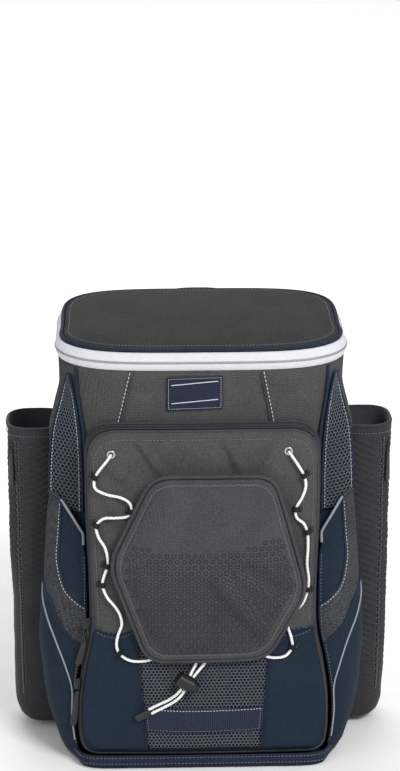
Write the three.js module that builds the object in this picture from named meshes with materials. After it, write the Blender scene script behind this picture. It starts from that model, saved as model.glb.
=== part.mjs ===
// A baseball backpack that stands on its base, with an open bat sleeve on each side.
// Lengths are in millimetres. +Z is up, the front faces -Y and the shoulder straps are at +Y.
import * as THREE from "three";

// Main bag
const BODY_HALF_WIDTH = 154;
const BODY_FRONT = 92;
const BODY_BACK = 100;
const BODY_WALL = 3;
const SECTION_POWER = 4;
const RIM_FRONT_HEIGHT = 460;
const RIM_BACK_HEIGHT = 483;
const SIDE_BULGE = 14;
const BULGE_CENTRE = -47;
const BULGE_REACH = 37;

// Base
const BASE_THICKNESS = 3;
const BASE_HALF_WIDTH = 163;
const BASE_FRONT = 127;
const BASE_BACK = 103;
// The base's half width beside the sleeves
const BASE_WAIST = BASE_HALF_WIDTH * 0.94;
const BINDING_HEIGHT = 13;
const BINDING_THICKNESS = 2.4;

// Lid
const BAND_HEIGHT = 20;
const BAND_THICKNESS = 2;
const BAND_SWELL = 3;
const LID_THICKNESS = 3;
const LID_CROWN = 7;
const LID_PIPING_RADIUS = 2.1;
const HINGE_HALF_ANGLE = 42;
// How far the lid's edge stands in from the rim
const LID_INSET = 1.3;

// Front pocket
const POCKET_HALF_WIDTH = 139;
const POCKET_HEIGHT = 378;
const POCKET_TOP_REACH = 110;
const POCKET_BASE_REACH = 122;
const POCKET_CROWN = 9;
const POCKET_WALL = 2.6;
const POCKET_TOP_CORNER = 32;
const POCKET_BASE_CORNER = 20;
const POCKET_EDGE_DROP = 9;
const GUSSET_FLARE = 1.03;
const ZIPPER_THICKNESS = 1.6;

// Helmet flap on the front pocket
const FLAP_WIDTH = 215;
const FLAP_HEIGHT = 210;
const FLAP_CENTRE_X = 5;
const FLAP_BOTTOM = 137;
const FLAP_THICKNESS = 5;
const FLAP_CROWN = 12;
const FLAP_CORNER = 20;
const FLAP_BASE_STANDOFF = 7.4;
const FLAP_TOP_STANDOFF = 12;
const FLAP_BINDING_RADIUS = 2.6;

// Elastic lace
const LACE_RADIUS = 1.6;
const LACE_LIFT = 5.2;
const LOOP_LENGTH = 6;
const LOOP_SLACK = 1.3;
const LOOP_WALL = 0.8;
const EYELET_RADIUS = 5;
const EYELET_RIM = 1.7;
const EYELET_THICKNESS = 0.9;
const CORD_LOCK_RADIUS = 8.5;
const CORD_LOCK_LENGTH = 26;
const CORD_TIP_WIDTH = 9;
const CORD_TIP_THICKNESS = 5;
const CORD_TIP_LENGTH = 18;

// Panels on the front
const PANEL_THICKNESS = 1;
const WINDOW_CENTRE_X = 0;
const WINDOW_TOP_HALF_WIDTH = 77;
const WINDOW_BASE_HALF_WIDTH = 64;
const WINDOW_TOP = 170;
const WEBBING_HEIGHT = 28;
const WEBBING_BOTTOM = 48;
const LABEL_WIDTH = 61;
const LABEL_HEIGHT = 38;
const LABEL_CENTRE_X = -9;
const LABEL_BOTTOM = RIM_FRONT_HEIGHT - 45;

// Sides
const WING_WIDTH = 185;
const WING_WALL = 2;
const WING_FRONT_REACH = 104;
const WING_REAR = -12;
const MOUTH_FRONT_HEIGHT = 247;
const MOUTH_REAR_HEIGHT = 305;
const TRIM_RADIUS = 2;
const MESH_THICKNESS = 1.5;
const MESH_TOP = RIM_FRONT_HEIGHT - 12;

// Bat sleeves
const SLEEVE_OUTER = 222;
const SLEEVE_DEPTH = 84;
const SLEEVE_CENTRE_Y = 34;
const SLEEVE_BOTTOM = 8;
const SLEEVE_HEIGHT = 362;
const SLEEVE_WALL = 2.5;
const SLEEVE_POWER = 3;

// Back
const BACK_PANEL_HALF_WIDTH = 110;
const BACK_PANEL_BOTTOM = 34;
const BACK_PANEL_HEIGHT = 392;
const BACK_PANEL_THICKNESS = 12;
const STRAP_WIDTH = 66;
const STRAP_THICKNESS = 11;
const STRAP_WEBBING_WIDTH = 25;
const STRAP_WEBBING_THICKNESS = 1.8;
const BUCKLE_WIDTH = 34;
const BUCKLE_HEIGHT = 28;
const BUCKLE_THICKNESS = 7;
const BUCKLE_GAP = 2;
const HANDLE_WIDTH = 12;
const HANDLE_THICKNESS = 6;
const HANDLE_HALF_SPAN = 52;
const HANDLE_RISE = 36;

// Zip pulls
const PULL_WIDTH = 8;
const PULL_THICKNESS = 2.6;
const PULL_LENGTH = 44;
const PULL_CLEARANCE = 3;
const SLIDER_LENGTH = 13;
const SLIDER_WIDTH = 9;
const SLIDER_THICKNESS = 4;
const SLIDER_HEIGHTS = [172, 100];
const SLEEVE_PULL_SHARE = 0.93;

// Space left between pieces that are sewn together
const GAP = 0.4;
// Space under a curved seam, which short straight facets need
const SEAT_GAP = 0.9;

const FLOOR_OF_BODY = BASE_THICKNESS + GAP;
const POCKET_BOTTOM = FLOOR_OF_BODY + BINDING_HEIGHT + GAP;
const POCKET_TOP = POCKET_BOTTOM + POCKET_HEIGHT;

// Shares of the bag's height, half width, front and back, and of the side bulge
const BODY_ROWS = [
  { at: 0.0, width: 0.94, front: 0.93, back: 0.96, bulge: 0.0 },
  { at: 0.1, width: 0.985, front: 0.95, back: 1.0, bulge: 0.35 },
  { at: 0.3, width: 1.0, front: 0.93, back: 1.04, bulge: 0.8 },
  { at: 0.55, width: 0.995, front: 0.92, back: 1.05, bulge: 1.0 },
  { at: 0.8, width: 1.0, front: 0.945, back: 1.03, bulge: 0.85 },
  { at: 1.0, width: 1.03, front: 1.0, back: 1.0, bulge: 0.25 },
];

// Shares of the front pocket's height and half width
const POCKET_ROWS = [
  { at: 0.0, width: 0.975 },
  { at: 0.08, width: 1.0 },
  { at: 0.18, width: 0.995 },
  { at: 0.28, width: 0.955 },
  { at: 0.38, width: 0.9 },
  { at: 0.52, width: 0.895 },
  { at: 0.75, width: 0.915 },
  { at: 1.0, width: 0.915 },
];

// Side pocket: share of its height, widest x as a share of WING_WIDTH, front reach as a share of its own
const WING_ROWS = [
  { at: 0.0, wide: 0.885, front: 1.0, middle: -60 },
  { at: 0.14, wide: 0.957, front: 1.0, middle: -52 },
  { at: 0.34, wide: 1.0, front: 0.98, middle: -48 },
  { at: 0.52, wide: 0.998, front: 0.92, middle: -48 },
  { at: 0.76, wide: 0.965, front: 0.85, middle: -48 },
  { at: 1.0, wide: 0.94, front: 0.79, middle: -48 },
];

// Half of the base's outline, as shares of its half width and of its front and back
const BASE_OUTLINE = [
  { width: 0.0, depth: -1.0 },
  { width: 0.45, depth: -0.998 },
  { width: 0.78, depth: -0.98 },
  { width: 0.855, depth: -0.92 },
  { width: 0.89, depth: -0.8 },
  { width: 0.985, depth: -0.5 },
  { width: 0.99, depth: -0.3 },
  { width: 0.94, depth: -0.1 },
  { width: 0.925, depth: 0.4 },
  { width: 0.9, depth: 0.8 },
  { width: 0.78, depth: 0.97 },
  { width: 0.4, depth: 1.0 },
  { width: 0.0, depth: 1.0 },
];

// Corners of the flap as shares of its width, from its centre, and of its height, from its bottom
const FLAP_CORNERS = [
  { across: -0.31, up: 0.0 },
  { across: 0.3, up: 0.01 },
  { across: 0.5, up: 0.375 },
  { across: 0.33, up: 1.0 },
  { across: -0.285, up: 1.0 },
  { across: -0.5, up: 0.53 },
];

// Sleeve: share of its height, outer face as a share of SLEEVE_OUTER, depth as a share of its own
const SLEEVE_ROWS = [
  { at: 0.0, outer: 0.925, depth: 0.84 },
  { at: 0.02, outer: 0.957, depth: 0.93 },
  { at: 0.07, outer: 0.976, depth: 0.98 },
  { at: 0.5, outer: 0.988, depth: 1.0 },
  { at: 1.0, outer: 1.0, depth: 1.0 },
];

// Routes of the elastic lace over the pocket, left and right of the flap: across, up and, where
// it isn't LACE_LIFT, how far off the pocket's face
const LACE_LEFT = [
  [-102, 371, 1.2],
  [-106, 366],
  [-120, 346],
  [-120, 334],
  [-108, 327],
  [-91, 323],
  [-82, 317],
  [-80, 307],
  [-84, 302],
  [-98, 300],
  [-111, 299],
  [-119, 291],
  [-117, 278],
  [-110, 266],
  [-107, 254],
  [-107, 244],
  [-111, 233],
  [-113, 222],
  [-108, 208],
  [-100, 198],
  [-94, 188],
  [-92, 176],
  [-96, 164],
  [-98, 152],
  [-95, 142],
  [-84, 134],
  [-68, 133],
  [-52, 138],
  [-34, 148],
  [-16, 149],
  [-8, 141],
  [-9, 130],
  [-12.5, 124, 7.6],
  [-16.1, 117.7, 10.8],
];
const LACE_RIGHT = [
  [94, 373, 1.2],
  [98, 368],
  [111, 346],
  [113, 334],
  [109, 321],
  [102, 308],
  [103, 298],
  [111, 291],
  [115, 281],
  [116, 264],
  [115, 244],
  [117, 226],
  [116, 214],
  [111, 199],
  [100, 186],
  [94, 174],
  [98, 158],
  [99, 147],
  [92, 137],
  [78, 135],
  [62, 140],
  [40, 149],
  [18, 149],
  [5, 141],
  [1, 131],
  [-5, 124, 7.2],
  [-12.7, 115.7, 10.8],
];
// The two free ends of the lace, from the cord lock to their tip
const TAILS = [
  [
    [-25.3, 102.3, 10.8],
    [-31, 95, 9.6],
    [-40, 87.4, 7.4],
    [-50, 82, 6.8],
    [-57, 78.6, 7.2],
    [-62.6, 75.8, 7.8],
  ],
  [
    [-21.9, 100.3, 10.8],
    [-27.5, 91.4, 9.4],
    [-37, 83, 7.2],
    [-47, 77.2, 6.8],
    [-55, 73.2, 7.2],
    [-59.6, 70.8, 7.8],
  ],
];
// Which points of each route pass through a webbing loop
const LOOPS_LEFT = [2, 7, 11, 15, 17, 24];
const LOOPS_RIGHT = [2, 5, 8, 12, 17];

const { MathUtils, Vector2, Vector3 } = THREE;

// A row of a table between its named rows, with a smooth curve through every column.
function rowAt(rows, share) {
  const last = rows.length - 1;
  let i = 0;
  while (i < last - 1 && share > rows[i + 1].at) i += 1;
  const a = rows[i];
  const b = rows[i + 1];
  const before = rows[Math.max(i - 1, 0)];
  const after = rows[Math.min(i + 2, last)];
  const span = b.at - a.at;
  const t = MathUtils.clamp((share - a.at) / span, 0, 1);
  const made = {};
  for (const key of Object.keys(a)) {
    const slopeA = ((b[key] - before[key]) / (b.at - before.at)) * span;
    const slopeB = ((after[key] - a[key]) / (after.at - a.at)) * span;
    made[key] =
      a[key] * (2 * t ** 3 - 3 * t ** 2 + 1) +
      slopeA * (t ** 3 - 2 * t ** 2 + t) +
      b[key] * (3 * t ** 2 - 2 * t ** 3) +
      slopeB * (t ** 3 - t ** 2);
  }
  return made;
}

function signedPower(value, power) {
  return Math.sign(value) * Math.abs(value) ** power;
}

function steps(count, from, to) {
  return Array.from({ length: count + 1 }, (_, i) => from + ((to - from) * i) / count);
}

// A geometry from points and faces, turned so that its faces point out.
function outward(points, faces) {
  let volume = 0;
  for (let i = 0; i < faces.length; i += 3) {
    const [a, b, c] = [points[faces[i]], points[faces[i + 1]], points[faces[i + 2]]];
    volume += a.dot(new Vector3().crossVectors(b, c));
  }
  if (volume < 0) {
    for (let i = 0; i < faces.length; i += 3) {
      [faces[i + 1], faces[i + 2]] = [faces[i + 2], faces[i + 1]];
    }
  }
  const geometry = new THREE.BufferGeometry().setFromPoints(points);
  geometry.setIndex(faces);
  geometry.computeVertexNormals();
  return geometry;
}

// Joins rings of equal length. Capped rings end in a fan, and the others close on themselves.
function loft(rings, capped = true) {
  const n = rings[0].length;
  const points = rings.flat();
  const faces = [];
  const spans = capped ? rings.length - 1 : rings.length;
  for (let r = 0; r < spans; r += 1) {
    const next = (r + 1) % rings.length;
    for (let i = 0; i < n; i += 1) {
      const j = (i + 1) % n;
      faces.push(r * n + i, r * n + j, next * n + j);
      faces.push(r * n + i, next * n + j, next * n + i);
    }
  }
  if (capped) {
    for (const r of [0, rings.length - 1]) {
      const centre = new Vector3();
      rings[r].forEach((p) => centre.addScaledVector(p, 1 / n));
      const middle = points.push(centre) - 1;
      for (let i = 0; i < n; i += 1) {
        const j = (i + 1) % n;
        if (r === 0) faces.push(middle, r * n + j, r * n + i);
        else faces.push(middle, r * n + i, r * n + j);
      }
    }
  }
  return outward(points, faces);
}

// A closed sheet between two grids of points of the same size.
function plate(outer, inner) {
  const rows = outer.length;
  const columns = outer[0].length;
  const points = [...outer.flat(), ...inner.flat()];
  const half = rows * columns;
  const faces = [];
  const quad = (a, b, c, d) => faces.push(a, b, c, a, c, d);
  for (let r = 0; r < rows - 1; r += 1) {
    for (let c = 0; c < columns - 1; c += 1) {
      const at = r * columns + c;
      quad(at, at + 1, at + columns + 1, at + columns);
      quad(half + at, half + at + columns, half + at + columns + 1, half + at + 1);
    }
  }
  for (let c = 0; c < columns - 1; c += 1) {
    const top = (rows - 1) * columns + c;
    quad(c, half + c, half + c + 1, c + 1);
    quad(top, top + 1, half + top + 1, half + top);
  }
  for (let r = 0; r < rows - 1; r += 1) {
    const left = r * columns;
    const right = left + columns - 1;
    quad(left, left + columns, half + left + columns, half + left);
    quad(right, half + right, half + right + columns, right + columns);
  }
  return outward(points, faces);
}

function grid(rowShares, columnShares, pointAt) {
  return rowShares.map((r) => columnShares.map((c) => pointAt(c, r)));
}

// A round bar along points; closed bars join end to end.
function roundBar(points, radius, sides, closed = false) {
  const count = points.length;
  const rings = points.map((p, i) => {
    const ahead = points[closed ? (i + 1) % count : Math.min(i + 1, count - 1)];
    const behind = points[closed ? (i + count - 1) % count : Math.max(i - 1, 0)];
    const along = new Vector3().subVectors(ahead, behind).normalize();
    const reference = Math.abs(along.y) > 0.9 ? new Vector3(0, 0, 1) : new Vector3(0, 1, 0);
    const across = new Vector3().crossVectors(along, reference).normalize();
    const up = new Vector3().crossVectors(across, along);
    return Array.from({ length: sides }, (_, k) => {
      const turn = (2 * Math.PI * k) / sides;
      return p
        .clone()
        .addScaledVector(across, radius * Math.cos(turn))
        .addScaledVector(up, radius * Math.sin(turn));
    });
  });
  return loft(rings, !closed);
}

// A flat bar along points, with its width along a direction given at each point.
function flatBar(points, widthDirections, width, thickness, chamfer = 0.3) {
  const last = points.length - 1;
  const rings = points.map((p, i) => {
    const along = new Vector3()
      .subVectors(points[Math.min(i + 1, last)], points[Math.max(i - 1, 0)])
      .normalize();
    const normal = new Vector3().crossVectors(along, widthDirections[i]).normalize();
    const across = new Vector3().crossVectors(normal, along).normalize();
    const [w, t] = [width / 2, thickness / 2];
    const cut = chamfer * t * 2;
    const corners = [
      [w - cut, -t],
      [w, -t + cut],
      [w, t - cut],
      [w - cut, t],
      [cut - w, t],
      [-w, t - cut],
      [-w, cut - t],
      [cut - w, -t],
    ];
    return corners.map(([a, b]) =>
      p.clone().addScaledVector(across, a).addScaledVector(normal, b),
    );
  });
  return loft(rings);
}

// Height of the slanted rim of the bag at a distance from front to back.
function rimHeight(y) {
  const share = (y + BODY_FRONT) / (BODY_FRONT + BODY_BACK);
  return RIM_FRONT_HEIGHT + (RIM_BACK_HEIGHT - RIM_FRONT_HEIGHT) * share;
}

function bulgeAt(y) {
  const t = MathUtils.clamp((y - BULGE_CENTRE) / BULGE_REACH, -1, 1);
  return Math.cos((Math.PI / 2) * t) ** 2;
}

function bodySection(share, inset) {
  const row = rowAt(BODY_ROWS, share);
  const front = -BODY_FRONT * row.front + inset;
  const back = BODY_BACK * row.back - inset;
  return {
    half: BODY_HALF_WIDTH * row.width - inset,
    middle: (front + back) / 2,
    depth: (back - front) / 2,
    bulge: SIDE_BULGE * row.bulge,
  };
}

// A point of the bag's skin: turn 0 is the right side, -90 the front and 90 the back.
function bodyPoint(turn, share, inset = 0) {
  const s = bodySection(share, inset);
  const angle = MathUtils.degToRad(turn);
  const y = s.middle + s.depth * signedPower(Math.sin(angle), 2 / SECTION_POWER);
  const side = signedPower(Math.cos(angle), 2 / SECTION_POWER);
  const x = side * s.half + side * s.bulge * bulgeAt(y);
  return new Vector3(x, y, FLOOR_OF_BODY + share * (rimHeight(y) - FLOOR_OF_BODY));
}

// Where the skin's front (side -1) or back (side 1) lies at a place across and up.
function bodyFaceY(x, z, side) {
  let y = side < 0 ? -BODY_FRONT : BODY_BACK;
  for (let i = 0; i < 8; i += 1) {
    const share = (z - FLOOR_OF_BODY) / (rimHeight(y) - FLOOR_OF_BODY);
    const s = bodySection(MathUtils.clamp(share, 0, 1), 0);
    const across = Math.min(Math.abs(x) / (s.half + s.bulge * bulgeAt(y)), 0.999);
    const reach = (1 - across ** SECTION_POWER) ** (1 / SECTION_POWER);
    y = s.middle + side * s.depth * reach;
  }
  return y;
}

// Half of the bag's width at a place front to back and up, with its bulge.
function bodySideX(y, z) {
  const share = (z - FLOOR_OF_BODY) / (rimHeight(y) - FLOOR_OF_BODY);
  const s = bodySection(MathUtils.clamp(share, 0, 1), 0);
  const along = Math.min(Math.abs(y - s.middle) / s.depth, 1);
  const reach = (1 - along ** SECTION_POWER) ** (1 / SECTION_POWER);
  return (s.half + s.bulge * bulgeAt(y)) * reach;
}

function bodyHalfWidth(z) {
  const share = (z - FLOOR_OF_BODY) / (rimHeight(SLEEVE_CENTRE_Y) - FLOOR_OF_BODY);
  return bodySection(MathUtils.clamp(share, 0, 1), 0).half;
}

// Turns of one quarter of the section, close together where the section runs straight
const QUARTER = [0, 2, 7, 15, 28, 45, 62, 75, 83, 88];
const TURNS = [-270, -180, -90, 0].flatMap((start) => QUARTER.map((turn) => start + turn));

function bodyShell() {
  const levels = [0, 0.05, 0.15, 0.3, 0.5, 0.7, 0.86, 1];
  const outer = levels.map((v) => TURNS.map((turn) => bodyPoint(turn, v)));
  const inner = levels.map((v) => TURNS.map((turn) => bodyPoint(turn, v, BODY_WALL)));
  return loft([...outer, ...inner.reverse()], false);
}

// Outline of the base as a closed list of plan points.
function baseOutline(inset) {
  const half = BASE_OUTLINE.map(({ width, depth }) => {
    const y = depth < 0 ? depth * (BASE_FRONT - inset) : depth * (BASE_BACK - inset);
    return new Vector3(width * (BASE_HALF_WIDTH - inset), y, 0);
  });
  const right = new THREE.CatmullRomCurve3(half, false, "centripetal").getPoints(18);
  const left = right.slice(1, -1).reverse();
  return [...right, ...left.map((p) => new Vector3(-p.x, p.y, 0))];
}

function raised(outline, height) {
  return outline.map((p) => new Vector3(p.x, p.y, height));
}

function basePanel() {
  const rounding = BASE_THICKNESS / 2;
  return loft([
    raised(baseOutline(BINDING_THICKNESS + rounding), 0),
    raised(baseOutline(BINDING_THICKNESS), rounding),
    raised(baseOutline(BINDING_THICKNESS), BASE_THICKNESS),
  ]);
}

function baseBinding() {
  const bottom = BASE_THICKNESS + GAP;
  const top = bottom + BINDING_HEIGHT;
  return loft(
    [
      raised(baseOutline(BINDING_THICKNESS * 0.6), bottom),
      raised(baseOutline(0), top),
      raised(baseOutline(BINDING_THICKNESS), top),
      raised(baseOutline(BINDING_THICKNESS * 1.6), bottom),
    ],
    false,
  );
}

function abovePoint(turn, inset, rise) {
  const p = bodyPoint(turn, 1, inset);
  p.z += rise;
  return p;
}

// A strip of the lid's band between two heights above the rim.
function bandStrip(turns, low, high, lowSwell, highSwell) {
  return loft(
    turns.map((turn) => [
      abovePoint(turn, -lowSwell, low),
      abovePoint(turn, -highSwell, high),
      abovePoint(turn, BAND_THICKNESS - highSwell, high),
      abovePoint(turn, BAND_THICKNESS - lowSwell, low),
    ]),
  );
}

const BAND_ENDS = [HINGE_HALF_ANGLE - 270, 90 - HINGE_HALF_ANGLE];
const BAND_TURNS = [
  BAND_ENDS[0],
  ...TURNS.filter((turn) => turn > BAND_ENDS[0] + 1 && turn < BAND_ENDS[1] - 1),
  BAND_ENDS[1],
];
const HINGE_TURNS = steps(8, 90 - HINGE_HALF_ANGLE + 1.2, 90 + HINGE_HALF_ANGLE - 1.2);

function lidPiping() {
  const inset = LID_PIPING_RADIUS + LID_INSET;
  const rise = BAND_HEIGHT + LID_PIPING_RADIUS + GAP;
  const points = TURNS.map((turn) => abovePoint(turn, inset, rise));
  return roundBar(points, LID_PIPING_RADIUS, 5, true);
}

function lidTop() {
  const edge = 2 * LID_PIPING_RADIUS + LID_INSET + GAP;
  const rise = BAND_HEIGHT + GAP + LID_PIPING_RADIUS + LID_THICKNESS / 2;
  const ring = (scale, lift, under) =>
    TURNS.map((turn) => {
      const p = abovePoint(turn, edge, 0);
      const middle = (BODY_BACK - BODY_FRONT) / 2;
      const y = middle + (p.y - middle) * scale;
      return new Vector3(p.x * scale, y, rimHeight(y) + rise + lift - under);
    });
  const scales = [
    { scale: 0.5, lift: 1.0 },
    { scale: 0.88, lift: 0.45 },
    { scale: 1.0, lift: 0.0 },
  ];
  const outer = scales.map(({ scale, lift }) => ring(scale, lift * LID_CROWN, 0));
  const inner = scales.map(({ scale, lift }) => ring(scale, lift * LID_CROWN, LID_THICKNESS));
  return loft([...outer, ...inner.reverse()]);
}

function pocketHalfWidth(z) {
  return POCKET_HALF_WIDTH * rowAt(POCKET_ROWS, (z - POCKET_BOTTOM) / POCKET_HEIGHT).width;
}

// Outline of the front pocket in the plane of x and z, from its bottom corner round the top.
function pocketOutline(count) {
  const sideTop = POCKET_TOP - POCKET_TOP_CORNER;
  const sideBottom = POCKET_BOTTOM + POCKET_BASE_CORNER;
  const topHalf = pocketHalfWidth(sideTop);
  const baseHalf = pocketHalfWidth(sideBottom);
  const heights = steps(12, sideBottom, sideTop);
  const path = new THREE.Path();
  path.moveTo(0, POCKET_BOTTOM);
  path.lineTo(baseHalf - POCKET_BASE_CORNER, POCKET_BOTTOM);
  path.quadraticCurveTo(baseHalf, POCKET_BOTTOM, baseHalf, sideBottom);
  heights.slice(1).forEach((z) => path.lineTo(pocketHalfWidth(z), z));
  path.quadraticCurveTo(topHalf, POCKET_TOP, topHalf - POCKET_TOP_CORNER, POCKET_TOP);
  path.lineTo(0, POCKET_TOP);
  const right = path.getSpacedPoints(count / 2);
  const left = right.slice(1, -1).reverse();
  return [...right, ...left.map((p) => new Vector2(-p.x, p.y))];
}

const POCKET_PLACES = 42;

// The pocket's front face at a place across and up.
function pocketFaceY(x, z) {
  const share = MathUtils.clamp((z - POCKET_BOTTOM) / POCKET_HEIGHT, 0, 1);
  const reach = POCKET_BASE_REACH + (POCKET_TOP_REACH - POCKET_BASE_REACH) * share;
  const across = 1 - (Math.min(Math.abs(x), POCKET_HALF_WIDTH) / POCKET_HALF_WIDTH) ** 2;
  return -reach - POCKET_CROWN * across * Math.sin(Math.PI * (0.15 + 0.75 * share));
}

const POCKET_CENTRE_Z = POCKET_BOTTOM + POCKET_HEIGHT * 0.5;

function pocketRingPoint(p, scale, drop, inset) {
  const toCentre = new Vector2(p.x, p.y - POCKET_CENTRE_Z);
  const length = toCentre.length();
  toCentre.multiplyScalar((scale * length - inset) / length);
  const x = toCentre.x;
  const z = POCKET_CENTRE_Z + toCentre.y;
  return new Vector3(x, pocketFaceY(x, z) + drop, z);
}

// The gusset's edge on the bag, a little wider than the face except at the bottom.
function pocketSeatPoint(p, inset, gap) {
  const rise = p.y - POCKET_CENTRE_Z;
  const flare = rise > 0 ? GUSSET_FLARE : 1;
  const place = new Vector2(p.x * GUSSET_FLARE, rise * flare);
  place.multiplyScalar((place.length() - inset) / place.length());
  const z = POCKET_CENTRE_Z + place.y;
  const corner = 1.8 * (Math.abs(place.x) / BODY_HALF_WIDTH) ** 4;
  return new Vector3(place.x, bodyFaceY(place.x, z, -1) - gap - corner, z);
}

function frontPocket() {
  const outline = pocketOutline(POCKET_PLACES);
  const face = [
    { scale: 0.3, drop: 0 },
    { scale: 0.62, drop: 0 },
    { scale: 0.88, drop: 0.08 },
    { scale: 0.97, drop: 0.35 },
    { scale: 1.0, drop: 1.0 },
  ];
  const rings = (inset) =>
    face.map(({ scale, drop }) =>
      outline.map((p) =>
        pocketRingPoint(p, scale, drop * POCKET_EDGE_DROP + inset, scale > 0.9 ? inset : 0),
      ),
    );
  const outer = [...rings(0), outline.map((p) => pocketSeatPoint(p, 0, SEAT_GAP))];
  const inner = [...rings(POCKET_WALL), outline.map((p) => pocketSeatPoint(p, POCKET_WALL, SEAT_GAP))];
  return loft([...outer, ...inner.reverse()]);
}

// The dark zip tape on the pocket's gusset, from one bottom corner round the top to the other.
function pocketZipper() {
  const outline = pocketOutline(POCKET_PLACES);
  const kept = outline
    .map((p, i) => ({ p, i }))
    .filter(({ p }) => p.y > POCKET_BOTTOM + POCKET_BASE_CORNER * 0.5);
  const ordered = kept.map(({ p }) => p);
  const rings = ordered.map((p) => {
    const at = (share, out) => {
      const edge = pocketRingPoint(p, 1, POCKET_EDGE_DROP, 0);
      const seat = pocketSeatPoint(p, 0, GAP);
      const point = edge.lerp(seat, share);
      const away = new Vector3(p.x, 0, p.y - POCKET_CENTRE_Z).normalize();
      if (Math.abs(p.x) > pocketHalfWidth(p.y) - 2) away.set(Math.sign(p.x), 0, 0);
      return point.addScaledVector(away, out);
    };
    return [
      at(0.06, GAP + 0.5),
      at(0.06, GAP + 0.5 + ZIPPER_THICKNESS),
      at(0.62, GAP + 0.5 + ZIPPER_THICKNESS),
      at(0.62, GAP + 0.5),
    ];
  });
  return loft(rings);
}

// A patch that lies on the pocket's face.
function facePatch(columns, rows, xAt, zAt, lift, thickness) {
  const at = (extra) => (c, r) => {
    const z = zAt(c, r);
    const x = xAt(c, r, z);
    return new Vector3(x, pocketFaceY(x, z) - lift - extra, z);
  };
  return plate(grid(rows, columns, at(thickness)), grid(rows, columns, at(0)));
}

function windowEdge(z) {
  const share = MathUtils.clamp((z - POCKET_BOTTOM) / (WINDOW_TOP - POCKET_BOTTOM), 0, 1);
  return WINDOW_BASE_HALF_WIDTH + (WINDOW_TOP_HALF_WIDTH - WINDOW_BASE_HALF_WIDTH) * share;
}

const WINDOW_BOTTOM = POCKET_BOTTOM + 8;

function meshWindow() {
  return facePatch(
    steps(6, -1, 1),
    steps(4, WINDOW_BOTTOM, WINDOW_TOP),
    (c, r) => WINDOW_CENTRE_X + c * windowEdge(r),
    (c, r) => r,
    GAP,
    MESH_THICKNESS,
  );
}

function lowerPanel(side) {
  const sag = 8;
  return facePatch(
    steps(4, 0, 1),
    steps(5, 0, 1),
    (c, r, z) => {
      const inner = WINDOW_CENTRE_X + side * (windowEdge(z) + GAP);
      const outer = side * (pocketHalfWidth(z) * 0.965 - (r < 0.1 ? 8 : 0));
      return inner + (outer - inner) * c;
    },
    (c, r) => WINDOW_BOTTOM + (WINDOW_TOP - sag * Math.sin(Math.PI * c) - WINDOW_BOTTOM) * r,
    GAP,
    PANEL_THICKNESS,
  );
}

function webbingBand() {
  return facePatch(
    steps(6, -1, 1),
    steps(1, WEBBING_BOTTOM, WEBBING_BOTTOM + WEBBING_HEIGHT),
    (c, r) => WINDOW_CENTRE_X + c * (windowEdge(r) - 1),
    (c, r) => r,
    MESH_THICKNESS + 2 * GAP,
    STRAP_WEBBING_THICKNESS,
  );
}

function label() {
  const at = (lift) => (c, r) => {
    const x = LABEL_CENTRE_X + c;
    return new Vector3(x, bodyFaceY(x, r, -1) - lift, r);
  };
  const rows = steps(1, LABEL_BOTTOM, LABEL_BOTTOM + LABEL_HEIGHT);
  const columns = steps(4, -LABEL_WIDTH / 2, LABEL_WIDTH / 2);
  return plate(grid(rows, columns, at(GAP + PANEL_THICKNESS)), grid(rows, columns, at(GAP)));
}

// The flap's outline with rounded corners.
function flapOutline(count) {
  const corners = FLAP_CORNERS.map(
    ({ across, up }) =>
      new Vector2(FLAP_CENTRE_X + across * FLAP_WIDTH, FLAP_BOTTOM + up * FLAP_HEIGHT),
  );
  const path = new THREE.Path();
  corners.forEach((corner, i) => {
    const before = corners[(i + corners.length - 1) % corners.length];
    const after = corners[(i + 1) % corners.length];
    const enter = corner.clone().add(before.clone().sub(corner).setLength(FLAP_CORNER));
    const leave = corner.clone().add(after.clone().sub(corner).setLength(FLAP_CORNER));
    if (i === 0) path.moveTo(enter.x, enter.y);
    else path.lineTo(enter.x, enter.y);
    path.quadraticCurveTo(corner.x, corner.y, leave.x, leave.y);
  });
  path.closePath();
  return path.getSpacedPoints(count).slice(0, -1);
}

const FLAP_PLACES = 30;
const FLAP_CENTRE_Z = FLAP_BOTTOM + FLAP_HEIGHT / 2;

function flapStandoff(z) {
  const share = MathUtils.clamp((z - FLAP_BOTTOM) / FLAP_HEIGHT, 0, 1);
  return FLAP_BASE_STANDOFF + (FLAP_TOP_STANDOFF - FLAP_BASE_STANDOFF) * share;
}

function flapPoint(p, scale, lift, grow = 0) {
  const spread = new Vector2(p.x - FLAP_CENTRE_X, p.y - FLAP_CENTRE_Z);
  spread.multiplyScalar(scale + grow / spread.length());
  const x = FLAP_CENTRE_X + spread.x;
  const z = FLAP_CENTRE_Z + spread.y;
  return new Vector3(x, pocketFaceY(x, z) - flapStandoff(z) - lift, z);
}

function helmetFlap() {
  const outline = flapOutline(FLAP_PLACES);
  const face = [
    { scale: 0.4, crown: 1.0 },
    { scale: 0.75, crown: 0.8 },
    { scale: 0.93, crown: 0.25 },
    { scale: 1.0, crown: 0.0 },
  ];
  const rings = (lift) =>
    face.map(({ scale, crown }) =>
      outline.map((p) => flapPoint(p, scale, lift + crown * FLAP_CROWN)),
    );
  return loft([...rings(FLAP_THICKNESS), ...rings(0).reverse()]);
}

function flapBinding() {
  const grow = FLAP_BINDING_RADIUS + GAP;
  const points = flapOutline(FLAP_PLACES).map((p) => flapPoint(p, 1, FLAP_THICKNESS / 2, grow));
  return roundBar(points, FLAP_BINDING_RADIUS, 5, true);
}

// A cord's route over the pocket: across, up and how far off its face.
function laceRoute(route) {
  const points = route.map(
    ([x, z, lift = LACE_LIFT]) => new Vector3(x, pocketFaceY(x, z) - lift, z),
  );
  return new THREE.CatmullRomCurve3(points, false, "centripetal");
}

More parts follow.
